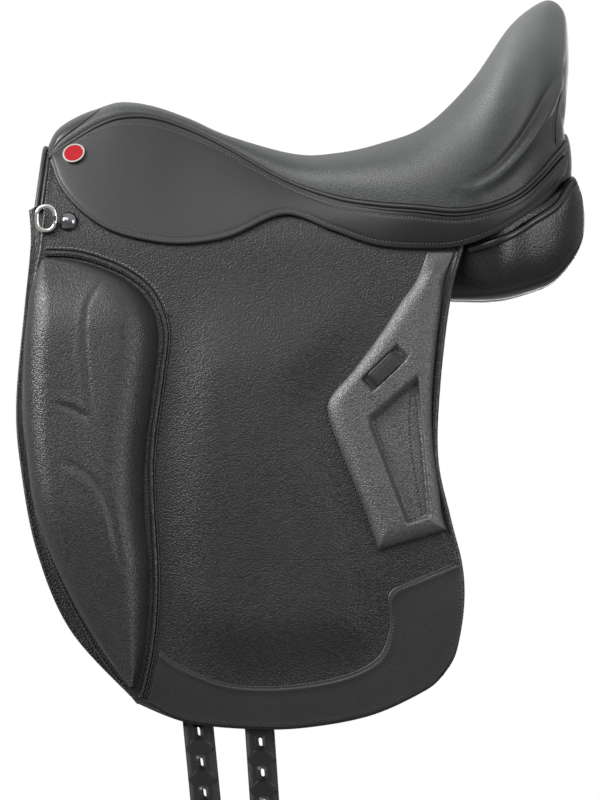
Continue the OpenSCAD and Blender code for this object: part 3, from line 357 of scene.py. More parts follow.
class Piece:
    """Gathers the faces of one object, in millimetres on the right side."""

    def __init__(self):
        self.points, self.faces, self.slots, self.wear_and_light = [], [], [], []
        self.count = 0

    def add(self, points, faces, slot=0, wear_and_light=0.0):
        points = np.asarray(points, float).reshape(-1, 3)
        self.points.append(points)
        self.wear_and_light.append(np.broadcast_to(np.asarray(wear_and_light, float).ravel(), len(points)))
        self.faces += [tuple(i + self.count for i in f) for f in faces]
        self.slots += [slot] * len(faces)
        self.count += len(points)

    def closed(self, outer, inner, slot=0, wear_and_light=0.0, slots=None):
        """Closed solid between an outer and an inner grid. slots gives the outer faces' own slots."""
        n, m = outer.shape[:2]
        s = n * m
        at = np.arange(s).reshape(n, m)
        corners = at[:-1, :-1], at[1:, :-1], at[1:, 1:], at[:-1, 1:]
        outside = list(zip(*(c.ravel() for c in corners)))
        inside = [tuple(i + s for i in f[::-1]) for f in outside]
        rim = np.concatenate([at[:-1, 0], at[-1, :-1], at[:0:-1, -1], at[0, :0:-1]])
        wear_and_light = np.broadcast_to(wear_and_light, (n, m)).ravel()
        both = np.concatenate([outer.reshape(-1, 3), inner.reshape(-1, 3)])
        first = len(self.faces)
        self.add(both, outside + inside, slot, np.concatenate([wear_and_light, wear_and_light]))
        k = len(rim)
        walls = [((i + 1) % k, i, i + k, (i + 1) % k + k) for i in range(k)]
        self.add(both[np.concatenate([rim, rim + s])], walls, slot, np.concatenate([wear_and_light[rim], wear_and_light[rim]]))
        if slots is not None:
            self.slots[first:first + len(outside)] = [int(v) for v in np.asarray(slots)[:-1, :-1].ravel()]

    def sheet(self, g, thickness, edge, relief=0.0):
        """Sheet of leather on a grid. edge is each point's distance from a free edge."""
        outer, inner, n = sheet_faces(g, thickness, edge, relief)
        self.closed(outer, inner, 0, np.exp(-edge / WORN_EDGE))
        return outer, n

    def strip(self, mid, out, half, height, slot=0, wear_and_light=0.0):
        """Low domed strip along a path, flat on the side away from out."""
        across = unit(np.cross(out, unit(np.gradient(mid, axis=0))))
        q = np.sin(np.linspace(-np.pi / 2, np.pi / 2, 13))
        foot = mid[:, None] + across[:, None] * (half[:, None] * q)[..., None]
        rise = (height * np.sqrt(np.maximum(1 - q ** 2, 0)))[None, :, None]
        self.closed(foot + out[:, None] * (rise + 0.1), foot, slot, wear_and_light)

    def tube(self, path, r, up, sides=10, slot=0, wear_and_light=0.0):
        """Round cord along a path, closed at both ends."""
        path = np.asarray(path, float)
        t = unit(np.gradient(path, axis=0))
        a = unit(np.cross(np.broadcast_to(up, t.shape), t))
        b = np.cross(t, a)
        r = np.broadcast_to(r, len(path))[:, None, None]
        turn = np.linspace(0, 2 * np.pi, sides, endpoint=False)
        rings = path[:, None] + r * (a[:, None] * np.cos(turn)[:, None] + b[:, None] * np.sin(turn)[:, None])
        self.add(rings, ring_faces(len(path), sides, True), slot, wear_and_light)

    def stitches(self, path, normal, slot, row):
        """Row of stitches along a path on a face with the given normals."""
        pitch, length, r = row
        path, normal = np.asarray(path, float), np.asarray(normal, float)
        run = np.insert(np.cumsum(np.linalg.norm(np.diff(path, axis=0), axis=1)), 0, 0)
        count = int(run[-1] / pitch)
        if count < 1:
            return
        at = (np.arange(count) + 0.5) * run[-1] / count
        centre, n = along_path(path, run, at), unit(along_path(normal, run, at))
        t = unit(along_path(np.gradient(path, run, axis=0), run, at))
        s = unit(np.cross(n, t))
        turn = math.radians(STITCH_SLANT)
        t, s = t * math.cos(turn) + s * math.sin(turn), s * math.cos(turn) - t * math.sin(turn)
        along = np.array([-0.5, -0.36, 0, 0.36, 0.5]) * length
        girth = np.array([0.3, 0.85, 1, 0.85, 0.3]) * r
        lift = np.array([-0.5, 0.1, 0.3, 0.1, -0.5]) * r
        sides = 6
        around = np.linspace(0, 2 * np.pi, sides, endpoint=False)
        spine = centre[:, None] + t[:, None] * along[:, None] + n[:, None] * lift[:, None]
        ring = (s[:, None, None] * np.cos(around)[:, None] + n[:, None, None] * np.sin(around)[:, None])
        points = spine[:, :, None] + ring * girth[:, None, None]
        one = ring_faces(len(along), sides)
        size = len(along) * sides
        self.add(points, [tuple(i + k * size for i in f) for k in range(count) for f in one], slot)

    def make(self, name, materials, left=False):
        points = np.concatenate(self.points) * MM
        faces = self.faces
        if left:
            points = points * (1, -1, 1)
            faces = [f[::-1] for f in faces]
        mesh = bpy.data.meshes.new("soft_" + name)
        mesh.from_pydata(points.tolist(), [], faces)
        for m in materials:
            mesh.materials.append(m)
        mesh.polygons.foreach_set("material_index", np.array(self.slots, np.int32))
        mesh.polygons.foreach_set("use_smooth", np.ones(len(faces), bool))
        wear_and_light = mesh.attributes.new("wear_and_light", "FLOAT", "POINT")
        wear_and_light.data.foreach_set("value", np.concatenate(self.wear_and_light).astype(np.float32))
        mesh.update()
        return new_object(mesh.name, mesh)

    def dress(self, name, materials, slot, body, left=False, nodes=None, fill=None):
        """Makes the object, hides the nodes it stands for and lets it ride. fill is not used."""
        obj = self.make(name, materials, left)
        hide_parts(*(nodes or [name]))
        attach(obj, body)


# Materials

class Nodes:
    """Short way to write the nodes of a material, or of the world, in front of its shader."""

    def __init__(self, owner, shader="Principled BSDF"):
        owner.use_nodes = True
        self.owner = owner
        self.tree = owner.node_tree
        self.shader = self.tree.nodes[shader]

    def add(self, kind, settings=None, **inputs):
        """New node. Its inputs go by name, or by their number after an i."""
        node = self.tree.nodes.new(kind)
        for key, value in (settings or {}).items():
            setattr(node, key, value)
        for key, value in inputs.items():
            socket = node.inputs[int(key[1:])] if key[0] == "i" and key[1:].isdigit() else node.inputs[key]
            self.put(socket, value)
        return node

    def put(self, socket, value):
        if isinstance(value, bpy.types.NodeSocket):
            self.tree.links.new(value, socket)
        else:
            socket.default_value = value

    def place(self):
        return self.add("ShaderNodeTexCoord").outputs["Object"]

    def noise(self, vector, scale, detail=3.0, rough=0.5):
        node = self.add("ShaderNodeTexNoise", Vector=vector, Scale=scale, Detail=detail, Roughness=rough)
        return node.outputs["Fac"]

    def math(self, operation, a, b=0.0, c=0.0):
        return self.add("ShaderNodeMath", {"operation": operation}, i0=a, i1=b, i2=c).outputs[0]

    def span(self, value, to_low=0.0, to_high=1.0, low=0.3, high=0.7):
        """Value moved to another range from the range that most noise has, or from a given one."""
        node = self.add("ShaderNodeMapRange", Value=value)
        for key, v in (("From Min", low), ("From Max", high), ("To Min", to_low), ("To Max", to_high)):
            self.put(node.inputs[key], v)
        return node.outputs["Result"]

    def mix(self, factor, a, b):
        node = self.add("ShaderNodeMix", {"data_type": "RGBA"})
        self.put(node.inputs[0], factor)
        self.put(node.inputs[6], a)
        self.put(node.inputs[7], b)
        return node.outputs[2]

    def bump(self, height, depth, strength=1.0):
        node = self.add("ShaderNodeBump", Height=height, Strength=strength, Distance=depth)
        self.put(self.shader.inputs["Normal"], node.outputs["Normal"])

    def finish(self, **inputs):
        for key, value in inputs.items():
            self.put(self.shader.inputs[key.replace("_", " ")], value)
        return self.owner


def rgb(r, g, b):
    return (r, g, b, 1.0)


def shade(tone, factor):
    return rgb(*(c * factor for c in tone))


def leather(name, tone, grain, depth, rough, specular, wear_and_light=0.32):
    """Black leather. grain is the size of its pebbles and depth their height, in millimetres."""
    n = Nodes(bpy.data.materials.new(name))
    place = n.place()
    broad = n.noise(place, 14.0, 4.0)
    fine = n.noise(place, 2.2 / (grain * MM), 3.0)
    warp = n.add("ShaderNodeTexNoise", Vector=place, Scale=0.5 / (grain * MM), Detail=1.0).outputs["Color"]
    bent = n.add(
        "ShaderNodeVectorMath", {"operation": "MULTIPLY_ADD"}, i0=warp, i1=(grain * MM,) * 3, i2=place)
    cells = n.add(
        "ShaderNodeTexVoronoi", {"feature": "F1"}, Vector=bent.outputs[0], Scale=1 / (grain * MM),
        Randomness=0.9).outputs["Distance"]
    pebble = n.span(cells, 1.0, 0.0, 0.1, 0.75)
    height = n.math("MULTIPLY_ADD", fine, 0.35, pebble)
    rim = n.add("ShaderNodeLayerWeight", Blend=0.5).outputs["Facing"]
    n.bump(height, depth * MM, n.span(rim, 1.0, 0.1, 0.55, 0.95))
    # Paler colour where the mesh gives it: worn edges and cords, and on the seat's top and cantle painted
    # light from above
    rubbed_and_lit = n.add("ShaderNodeAttribute", {"attribute_name": "wear_and_light"}).outputs["Fac"]
    paler = n.math("MULTIPLY", rubbed_and_lit, n.span(broad, 0.75 * wear_and_light, wear_and_light))
    base = n.mix(n.span(broad), shade(tone, 0.85), shade(tone, 1.15))
    # The grain's valleys are painted darker, as painted shade in its pits
    dip = n.math("SUBTRACT", 1.0, pebble)
    base = n.mix(n.math("MULTIPLY", dip, 0.8), base, shade(tone, 0.3))
    base = n.mix(paler, base, rgb(*(0.05 + c * 2 for c in tone)))
    uneven = n.math("ADD", broad, n.math("MULTIPLY", fine, 0.4))
    polish = n.span(uneven, rough - 0.06, rough + 0.08, 0.4, 1.0)
    return n.finish(
        Base_Color=base, Roughness=n.math("SUBTRACT", polish, n.math("MULTIPLY", paler, 0.1)),
        Specular_IOR_Level=specular)


def thread(name, tone):
    n = Nodes(bpy.data.materials.new(name))
    place = n.place()
    twist = n.noise(place, 2600.0, 2.0)
    n.bump(twist, 0.15 * MM)
    base = n.mix(twist, shade(tone, 0.6), shade(tone, 1.5))
    return n.finish(Base_Color=base, Roughness=n.span(twist, 0.35, 0.55), Specular_IOR_Level=0.5)


def metal(name, tone, rough, scratch=0.05):
    n = Nodes(bpy.data.materials.new(name))
    place = n.place()
    broad = n.noise(place, 60.0, 4.0)
    marks = n.noise(place, 900.0, 6.0, 0.7)
    n.bump(marks, 0.01 * MM)
    base = n.mix(n.span(broad), shade(tone, 0.88), rgb(*tone))
    return n.finish(
        Base_Color=base, Metallic=1.0, Roughness=n.span(marks, rough, rough + scratch, 0.3, 0.75))


def enamel(name, tone):
    n = Nodes(bpy.data.materials.new(name))
    place = n.place()
    cloud = n.noise(place, 120.0, 3.0)
    n.bump(n.noise(place, 500.0, 2.0), 0.02 * MM)
    base = n.mix(cloud, shade(tone, 0.85), shade(tone, 1.12))
    return n.finish(Base_Color=base, Roughness=n.span(cloud, 0.14, 0.2), Specular_IOR_Level=0.3)


def woven(name, tone, pitch):
    """Webbing of yarns at a pitch in millimetres."""
    n = Nodes(bpy.data.materials.new(name))
    place = n.place()
    scale = math.pi / (pitch * MM)
    axes = n.add("ShaderNodeSeparateXYZ", Vector=place).outputs
    warp = n.math("SINE", n.math("MULTIPLY", axes[0], scale))
    weft = n.math("SINE", n.math("MULTIPLY", n.math("ADD", axes[1], axes[2]), scale))
    cloth = n.math("MULTIPLY", warp, weft)
    fuzz = n.noise(place, 1500.0, 3.0)
    n.bump(n.math("MULTIPLY_ADD", fuzz, 0.4, cloth), 0.25 * MM)
    base = n.mix(n.span(cloth, 0.0, 1.0, -1.0, 1.0), shade(tone, 0.6), rgb(*tone))
    return n.finish(Base_Color=base, Roughness=n.span(fuzz, 0.75, 0.95), Sheen_Weight=0.2)


def timber(name, tone):
    n = Nodes(bpy.data.materials.new(name))
    place = n.add("ShaderNodeMapping", Vector=n.place(), Scale=(8.0, 90.0, 160.0)).outputs[0]
    grain = n.noise(place, 2.0, 5.0, 0.6)
    n.bump(grain, 0.1 * MM)
    base = n.mix(n.span(grain), shade(tone, 0.6), rgb(*tone))
    return n.finish(Base_Color=base, Roughness=n.span(grain, 0.35, 0.5))


# The seat's leather is lighter than the flaps': partly a paler seat leather and partly painted sheen from
# above
SEAT = leather("seat_leather", (0.045, 0.048, 0.048), 1.3, 0.15, 0.48, 0.55)
SMOOTH = leather("smooth_leather", (0.016, 0.017, 0.016), 1.0, 0.05, 0.46, 0.45)
GRAIN = leather("grained_leather", (0.008, 0.008, 0.009), 1.5, 0.27, 0.33, 0.5)
# The knee and thigh blocks are the flaps' black leather made lighter, as painted sheen of the light on them
KNEE_LIT = leather("knee_leather_painted_sheen", (0.031, 0.032, 0.033), 1.55, 0.25, 0.34, 0.5)
THIGH_LIT = leather("thigh_leather_painted_sheen", (0.084, 0.085, 0.084), 1.55, 0.28, 0.36, 0.6)
PANEL = leather("panel_leather", (0.014, 0.014, 0.015), 1.9, 0.17, 0.32, 0.5)
GLOSS = leather("rolled_leather", (0.009, 0.009, 0.010), 0.8, 0.03, 0.27, 0.5)
STRAP = leather("strap_leather", (0.009, 0.009, 0.010), 0.9, 0.06, 0.42, 0.45)
RAW = leather("cut_leather", (0.05, 0.047, 0.044), 0.6, 0.08, 0.7, 0.3)
THREAD = thread("black_thread", (0.014, 0.014, 0.015))
# Pale thread that paints the glints of light on the knee welt's upper stitches
PALE_GLINT = thread("grey_thread_painted_glint", (0.2, 0.2, 0.2))
DULL = thread("dull_thread", (0.07, 0.07, 0.066))
NICKEL = metal("nickel", (0.78, 0.77, 0.73), 0.1)
DARK_NICKEL = metal("dark_nickel", (0.2, 0.2, 0.21), 0.1)
STEEL = metal("tree_steel", (0.45, 0.46, 0.48), 0.28, 0.15)
BAR_STEEL = metal("bar_steel", (0.6, 0.6, 0.61), 0.2, 0.1)
RED = enamel("red_enamel", (0.36, 0.006, 0.012))
WOOD = timber("tree_wood", (0.5, 0.32, 0.17))
WEB = woven("webbing", (0.6, 0.55, 0.44), 1.6)


# Seat, welts and skirts

def arch(rows, dips, u, w):
    """Points over the seat: u along it, w across it from -1 to 1."""
    u, w = crossed(u, w)
    r = spline(rows, u)
    e = 2 / lerp(2.8, 2.3, smooth(0.5, 0.7, u))
    rise = np.maximum(np.cos(np.pi / 2 * np.abs(w)), 0) ** e
    out = np.sin(np.pi / 2 * np.abs(w)) ** e
    dip = DISH * spline(dips, u)[..., 0]
    f = np.clip(out / DISH_EDGE, 0, 1)
    return np.stack([
        lerp(r[..., 2], r[..., 0], rise), np.sign(w) * r[..., 3] * out,
        lerp(r[..., 4], r[..., 1], rise) - dip * (1 - f * f) ** 2], axis=-1)


def on_seat(curve, count):
    """Points and normals on the seat's right side along a curve drawn from the side."""
    top = arch(SEAT_ROWS, DISH_ROWS, np.linspace(0, 1, 700), np.linspace(0.002, 1, 220))
    n = normals(top).reshape(-1, 3)
    top = top.reshape(-1, 3)
    drawn = spline(curve, np.linspace(0, 1, count))
    near = [np.argmin((top[:, 0] - x) ** 2 + (top[:, 2] - z) ** 2) for x, z in drawn]
    p, n = top[near], n[near]
    for _ in range(6):
        p[1:-1] = (p[:-2] + 2 * p[1:-1] + p[2:]) / 4
        n[1:-1] = (n[:-2] + 2 * n[1:-1] + n[2:]) / 4
    return p, unit(n)


def seat():
    """Seat leather with its foam: creases, the glossy pommel roll with its piping, and the back seams."""
    u = np.linspace(0, 1, 241)
    w = np.linspace(-1, 1, 171)
    top = arch(SEAT_ROWS, DISH_ROWS, u, w)
    x, z = top[..., 0], top[..., 2]
    relief = crease(x, z, CANTLE_CREASE, *CANTLE_FOLD)
    relief += crease(x, z, CANTLE_CREASE, *CANTLE_HOLLOW)
    relief *= smooth(0.4, 0.7, np.abs(w))
    relief += crease(x, z, BACK_SEAM, *BACK_FOLD)
    relief += crease(x, z, ROLL_SEAM, *ROLL_FOLD)
    above, along = from_curve(x, z, ROLL_SEAM)
    roll = (above > 0) & (along < 0.99)
    # How much paler the seat is painted: where the rider sits partly wear and partly painted light from
    # above, and towards the cantle's top a strong painted highlight
    sat_on = 1 - smooth(0.4, 0.88, np.abs(w))
    rubbed_and_lit = 1.2 * sat_on + 1.9 * smooth(150, 250, z) * (0.35 + 0.65 * sat_on)
    outer = top + normals(top) * relief[..., None]
    piece = Piece()
    piece.closed(outer, arch(GROUND_ROWS, GROUND_DISH, u, w), 0, rubbed_and_lit, roll)
    roll_p, roll_n = on_seat(ROLL_SEAM, 60)
    back_p, back_n = on_seat(BACK_SEAM, 60)
    for turn in (1, -1):
        mirror = np.array((1, turn, 1))
        piece.tube((roll_p - roll_n * 0.7) * mirror, 1.0, (0, turn, 0.3), 8, 2, 0.7)
        piece.tube((back_p - back_n * 0.9) * mirror, 0.5, (0, turn, 0.3), 6, 3)
    piece.dress(
        "seat_leather", [SEAT, GLOSS, SMOOTH, THREAD], "seat_leather", "saddle",
        nodes=["seat_cover", "seat_foam"], fill=0.9)


def seat_edge(u):
    return spline(SEAT_ROWS, u)[..., 2:5]


# How far the skirt's free edge clears the flap, and how far its middle bulges
SKIRT_LIFT, SKIRT_BULGE = 1.2, 3


def skirt_edge(u):
    p = spline(SKIRT_ROWS, u)
    x, z = p[..., 0], p[..., 1]
    free = side(x, z) + FLAP_T + SKIRT_LIFT
    return np.stack([x, lerp(free, seat_edge(u)[..., 1], smooth(110, 165, x)), z], axis=-1)


def skirt_point(u, v):
    g = lerp(seat_edge(u), skirt_edge(u), v[..., None])
    g[..., 1] += SKIRT_BULGE * 4 * v * (1 - v)
    return g


WELT_UP = (0, 1, 0.2)
# Two cords by their distance from the seat's edge and their radius, and the seam between them
WELT_CORDS = ((0.6, 2.1), (4.9, 1.6))
WELT_SEAM = 4.9


def welts(left, tag):
    """Double welt round the seat: two cords with a row of stitches between them."""
    u = np.linspace(0, 1, 240)
    edge = seat_edge(u)
    way = unit(skirt_edge(u) - edge)
    piece = Piece()
    for start, r in WELT_CORDS:
        piece.tube(edge + way * (start + r) + (0, 0.9, 0), r, WELT_UP, 12, 0, 0.35)
    seam = edge + way * WELT_SEAM + (0, 1.4, 0)
    piece.stitches(seam, np.cross(np.gradient(edge, axis=0), way), 1, FINE_STITCH)
    piece.dress("seat_welt" + tag, [SMOOTH, THREAD], "smooth_leather", "saddle", left)


# Where the skirt and its front lobe start and end along the seat's edge, and their rows of points
SKIRT_FROM, SKIRT_TO = 0.75 / 18, 17 / 18
LOBE_FROM, LOBE_TO = 2 / 18, 8 / 18
FRONT_ROWS, REAR_ROWS = 110, 130
# The second row of stitches lies this far under the welt, where the skirt is wide enough for it
UNDER_WELT, TWO_ROWS = 4, 16


def skirt_faces():
    """Both faces of the whole skirt and its wear, then the paths of its two rows of stitches."""
    u = np.concatenate([
        np.linspace(SKIRT_FROM, LOBE_TO, FRONT_ROWS), np.linspace(LOBE_TO, SKIRT_TO, REAR_ROWS)[1:]])
    depth = np.linalg.norm(skirt_edge(u) - seat_edge(u), axis=-1)
    seam = np.minimum(0.6, (2 * WELT_R + 1.6) / depth)
    span = depth * (1 - seam)
    low = np.maximum(span[:, None] - np.array((0.0, *EDGE_ROWS))[::-1], 0) / span[:, None]
    v = np.concatenate([np.linspace(0, 1, 26)[:-1] * low[:, :1], low], axis=1)
    g = skirt_point(np.broadcast_to(u[:, None], v.shape), lerp(seam[:, None], 1, v))
    edge, top = reach(g, 1, True), reach(g, 1, False)
    relief = groove(edge, SEWN_AT, 0.9, 0.5)
    relief += groove(top, UNDER_WELT, 0.9, 0.45) * smooth(9, 14, span)[:, None]
    outer, inner, n = sheet_faces(g, SKIRT_T, edge, relief)
    rows = np.arange(len(u))
    sewn = v.shape[1] - 1 - [0.0, *EDGE_ROWS].index(SEWN_AT)
    under = np.argmin(np.abs(top - UNDER_WELT), axis=1)
    paths = [(outer[:, sewn], n[:, sewn]), (outer[rows, under], n[rows, under])]
    return outer, inner, np.exp(-edge / WORN_EDGE), span, paths


def skirt_part(rows):
    """Part of the skirt between two rows of its grid."""
    outer, inner, wear_and_light, span, paths = skirt_faces()
    (low, low_n), (high, high_n) = paths
    wide = span[rows] > TWO_ROWS
    piece = Piece()
    piece.closed(outer[rows], inner[rows], 0, wear_and_light[rows])
    piece.stitches(low[rows], low_n[rows], 1, SKIRT_STITCH)
    piece.stitches(high[rows][wide], high_n[rows][wide], 1, SKIRT_STITCH)
    return piece


def skirts(left, tag):
    """Skirt in two pieces: the front one lies over the lobe that lifts, the rear one is sewn down."""
    front = skirt_part(slice(0, FRONT_ROWS)).make("skirt_front" + tag, [SMOOTH, DULL], left)
    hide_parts("skirt_lobe" + tag)
    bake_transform(front)
    rear = skirt_part(slice(FRONT_ROWS - 1, None))
    rear.dress("skirt_rear" + tag, [SMOOTH, DULL], "smooth_leather", "saddle", left, ["skirt" + tag])


# Flaps and what is sewn on them

# How far the flap's leather stands out, its width and height, and where it bends: x, y and two z in metres
FLAP_FULL = 5.0
FLAP_SIZE = (375, 420)
FLAP_BEND = (-52 * MM, 0.1127, 0.050, 0.037)


def fullness(x, z):
    """How far the flap's leather stands out between the blocks, the band and the skirt, from 0 to 1."""
    welt = from_curve(x, z, KNEE_SEAM)[0]
    block = -from_curve(x, z, THIGH_FRONT)[0]
    band = from_curve(x, z, BAND_TOP)[0]
    return smooth(4, 52, welt) * smooth(4, 52, block) * smooth(4, 60, band) * (1 - smooth(-75, 20, z))


def flap(left, tag):
    """Flap with its bound rear edge, in one with the strip above it that is nailed to the tree."""
    wide, high = FLAP_SIZE
    s = lines(56, wide, EDGE_ROWS, BOUND_ROWS)
    t = lines(70, high, (), EDGE_ROWS)
    line = [FLAP_FRONT[0], FLAP_REAR[0]]
    top = down_grid(STRIP_TOP, line, s, np.linspace(0, 1, 22))
    low = patch(FLAP_FRONT, FLAP_REAR, line, FLAP_FOOT, s, t)
    drawn = np.concatenate([top[:, :-1], low], axis=1)
    g = on_side(drawn)
    front, rear, foot = reach(g, 0, False), reach(g, 0, True), reach(g, 1, True)
    edge = np.minimum(np.minimum(front, rear), foot)
    relief = groove(np.minimum(front, foot), SEWN_AT, 1.0, 0.6) + groove(rear, BOUND_AT, 1.1, 1.0)
    relief += 0.5 * np.sin(np.pi * np.clip(rear / BOUND_AT, 0, 1))
    relief += FLAP_FULL * fullness(drawn[..., 0], drawn[..., 1])
    piece = Piece()
    outer, n = piece.sheet(g, FLAP_T, edge, relief)
    for place, row in ((SEWN_AT / wide, FLAP_STITCH), (1 - BOUND_AT / wide, BOUND_STITCH)):
        k = nearest_line(s, place)
        piece.stitches(outer[k], n[k], 1, row)
    obj = piece.make("flap_sheet" + tag, [GRAIN, THREAD], left)
    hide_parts("flap" + tag, "flap_top" + tag)
    x, y, upper, lower = FLAP_BEND
    y = -y if left else y
    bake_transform(obj)


def shoulder(v):
    """Quarter round: 0 at 0, level at 1 and after it."""
    return np.sqrt(1 - (1 - np.clip(v, 0, 1)) ** 2)


def pad_height(s, t):
    """Height of the knee block over its foot, with s across it and t down it from 0 to 1."""
    along = smooth(-0.05, 0.34, t) * (1 - 0.6 * smooth(0.6, 1, t))
    walls = shoulder(s / 0.22) * (1 - np.clip((s - 0.55) / 0.45, 0, 1) ** 4)
    return PAD_EDGE + KNEE_H * along * walls * (1 - 0.05 * s)


def knee_block(left, tag):
    s = lines(70, 100, BLOCK_ROWS, BLOCK_ROWS)
    t = lines(230, 400, BLOCK_ROWS, BLOCK_ROWS)
    xz = across_grid(KNEE_FRONT, KNEE_REAR, s, t)
    x, z = xz[..., 0], xz[..., 1]
    g = on_side(xz)
    n = normals(g)
    height = pad_height(s[:, None], t[None, :])
    relief = sum(crease(x, z, curve, *fold) for curve, fold in zip(KNEE_CREASES, KNEE_FOLDS))
    full = smooth(3, 12, height)
    outer = g + n * (SEWN_ON + np.maximum(height + relief * full, 1))[..., None]
    piece = Piece()
    piece.closed(outer, g + n * SEWN_ON)
    piece.dress("knee_block" + tag, [KNEE_LIT], "grained_leather", "flap" + tag, left, fill=0.95)


# Share of the knee welt from its top whose stitches are pale, as a painted glint of light on them
PALE_GLINT_SHARE = 0.42


def knee_welt(left, tag):
    """Domed band behind the knee block, with a thin piping and stitches along its far side."""
    t = np.linspace(0, 1, 240)
    p = on_side(spline(KNEE_SEAM, t))
    way = unit(np.gradient(p, axis=0))
    out = np.broadcast_to(unit(np.array((-SIDE_SLOPE, 1, 0.2))), way.shape)
    across = unit(np.cross(out, way))
    out = unit(np.cross(way, across))
    half = lerp(3.1, 2.3, smooth(0.25, 0.5, t))
    edge = across * np.sign(np.mean(across[100:140, 0]))
    piece = Piece()
    piece.strip(p + out * SEWN_ON, out, half, 2.3, 0, 0.25)
    piping = p + edge * (half + 1.0)[:, None] + out * (SEWN_ON + 0.5)
    piece.tube(piping, 0.8, WELT_UP, 8, 0, 0.6)
    far = p + edge * (half + 2.5)[:, None] + out * (SEWN_ON - 0.2)
    # The upper stitches are pale thread, as a painted glint; the rest are black
    pale = int(PALE_GLINT_SHARE * len(t))
    piece.stitches(far[:pale], out[:pale], 1, KNEE_STITCH)
    piece.stitches(far[pale:], out[pale:], 2, KNEE_STITCH)
    near = p - edge * (half - 0.9)[:, None] + out * (SEWN_ON + 1.7)
    piece.stitches(near, out, 2, NEAR_STITCH)
    piece.dress("knee_welt" + tag, [GRAIN, PALE_GLINT, THREAD], "smooth_leather", "flap" + tag, left)


# How far in each wall of the thigh block's recess runs, from its top edge round by the front
RECESS_WALLS = (7.0, 6.5, 4.5, 3.5)


def recess(x, z):
    """How deep drawn points lie in the thigh block's recess, from 0 to 1."""
    depth = 1.0
    for i, width in enumerate(RECESS_WALLS):
        a, b = np.array(PATCH[i]), np.array(PATCH[(i + 1) % 4])
        d = unit(b - a)
        gap = d[0] * (z - a[1]) - d[1] * (x - a[0])
        depth = depth * smooth(-0.5, width - 0.5, gap)
    return depth


KEEPER_COS, KEEPER_SIN = math.cos(math.radians(KEEPER_TURN)), math.sin(math.radians(KEEPER_TURN))


def keeper_frame(x, z):
    """Drawn points along and across the keeper."""
    dx, dz = x - KEEPER_AT[0], z - KEEPER_AT[1]
    return dx * KEEPER_COS + dz * KEEPER_SIN, dz * KEEPER_COS - dx * KEEPER_SIN


PLATEAU = PAD_EDGE / 2 + THIGH_H
BLOCK_OUT = unit(np.array((-SIDE_SLOPE, 1, 0.15)))
# Height of the thigh block at its edge and depth of the keeper's well in it
THIGH_RIM, WELL_D = 0.8, 4.0


def thigh_block(left, tag):
    """Thigh block with the sewn patch in its recess, the keeper's well and a seam along its front."""
    rows = (*BLOCK_ROWS, 3.6)
    s = lines(70, 80, rows, rows)
    t = lines(170, 240, BLOCK_ROWS, BLOCK_ROWS)
    xz = across_grid(THIGH_FRONT, THIGH_REAR, s, t)
    x, z = xz[..., 0], xz[..., 1]
    g = on_side(xz)
    n = normals(g)
    edge = np.minimum(edge_gap(g, 0), reach(g, 1, True))
    round_off = shoulder(edge / 17) * smooth(0, 26, reach(g, 1, False))
    a, b = keeper_frame(x, z)
    well = smooth(-0.6, 1.0, np.minimum(KEEPER_L / 2 - np.abs(a), KEEPER_W / 2 + 0.6 - np.abs(b)))
    height = THIGH_RIM + (PLATEAU - THIGH_RIM) * round_off - RECESS_D * recess(x, z) - WELL_D * well
    outer = g + n * (SEWN_ON + np.maximum(height, 0.6))[..., None]
    piece = Piece()
    # A band about 9 mm in from the block's edge, on its roll, is painted paler
    piece.closed(outer, g + n * SEWN_ON, 0, 0.15 * np.exp(-((edge - 9) / 5) ** 2))
    bottom = BLOCK_OUT * (SEWN_ON + PLATEAU - RECESS_D + 0.1)
    for path in (PATCH_SEAM[:2], PATCH_SEAM[1:3], PATCH_SEAM[2:], PATCH_REAR):
        line = on_side(spline(path, np.linspace(0, 1, 60))) + bottom
        piece.stitches(line, np.broadcast_to(BLOCK_OUT, line.shape), 1, PATCH_STITCH)
    front = spline(THIGH_FRONT, np.linspace(0.01, 0.99, 160)) + (-0.8, 0)
    seam = on_side(front) + BLOCK_OUT * SEWN_ON
    piece.stitches(seam, np.broadcast_to(BLOCK_OUT, seam.shape), 1, THIGH_STITCH)
    piece.dress("thigh_block" + tag, [THIGH_LIT, THREAD], "grained_leather", "flap" + tag, left, fill=0.9)


# The keeper's edge rows, and how far from its edge it is sewn
KEEPER_ROWS, KEEPER_SEWN = (0.3, 0.9), 2.2


def keeper(left, tag):
    """Band over the thigh block whose ends go down into it, for the end of a stirrup leather."""
    a = lines(30, KEEPER_L)
    b = lines(12, KEEPER_W, KEEPER_ROWS, KEEPER_ROWS)
    half_l, half_w = KEEPER_L / 2 - 3, KEEPER_W / 2
    along, across = crossed(lerp(-half_l, half_l, a), lerp(half_w, -half_w, b))
    x = KEEPER_AT[0] + along * KEEPER_COS - across * KEEPER_SIN
    z = KEEPER_AT[1] + along * KEEPER_SIN + across * KEEPER_COS
    rise = SEWN_ON + PLATEAU - KEEPER_T + 0.6 - 3.0 * smooth(11, 17.5, np.abs(along))
    g = on_side(np.stack([x, z], axis=-1)) + BLOCK_OUT * rise[..., None]
    edge = edge_gap(g, 1)
    piece = Piece()
    outer, n = piece.sheet(g, KEEPER_T, edge, groove(edge, KEEPER_SEWN, 0.6, 0.3))
    for row in (KEEPER_SEWN, KEEPER_W - KEEPER_SEWN):
        k = nearest_line(b, row / KEEPER_W)
        piece.stitches(outer[4:-4, k], n[4:-4, k], 1, KEEPER_STITCH)
    piece.dress("keeper" + tag, [SMOOTH, THREAD], "smooth_leather", "flap" + tag, left)


# About how long and wide the band is, and how far from its upper and lower edge it is sewn
BAND_SIZE, BAND_SEWN, BAND_SEWN_LOW = (420, 42), 2.6, 3.2


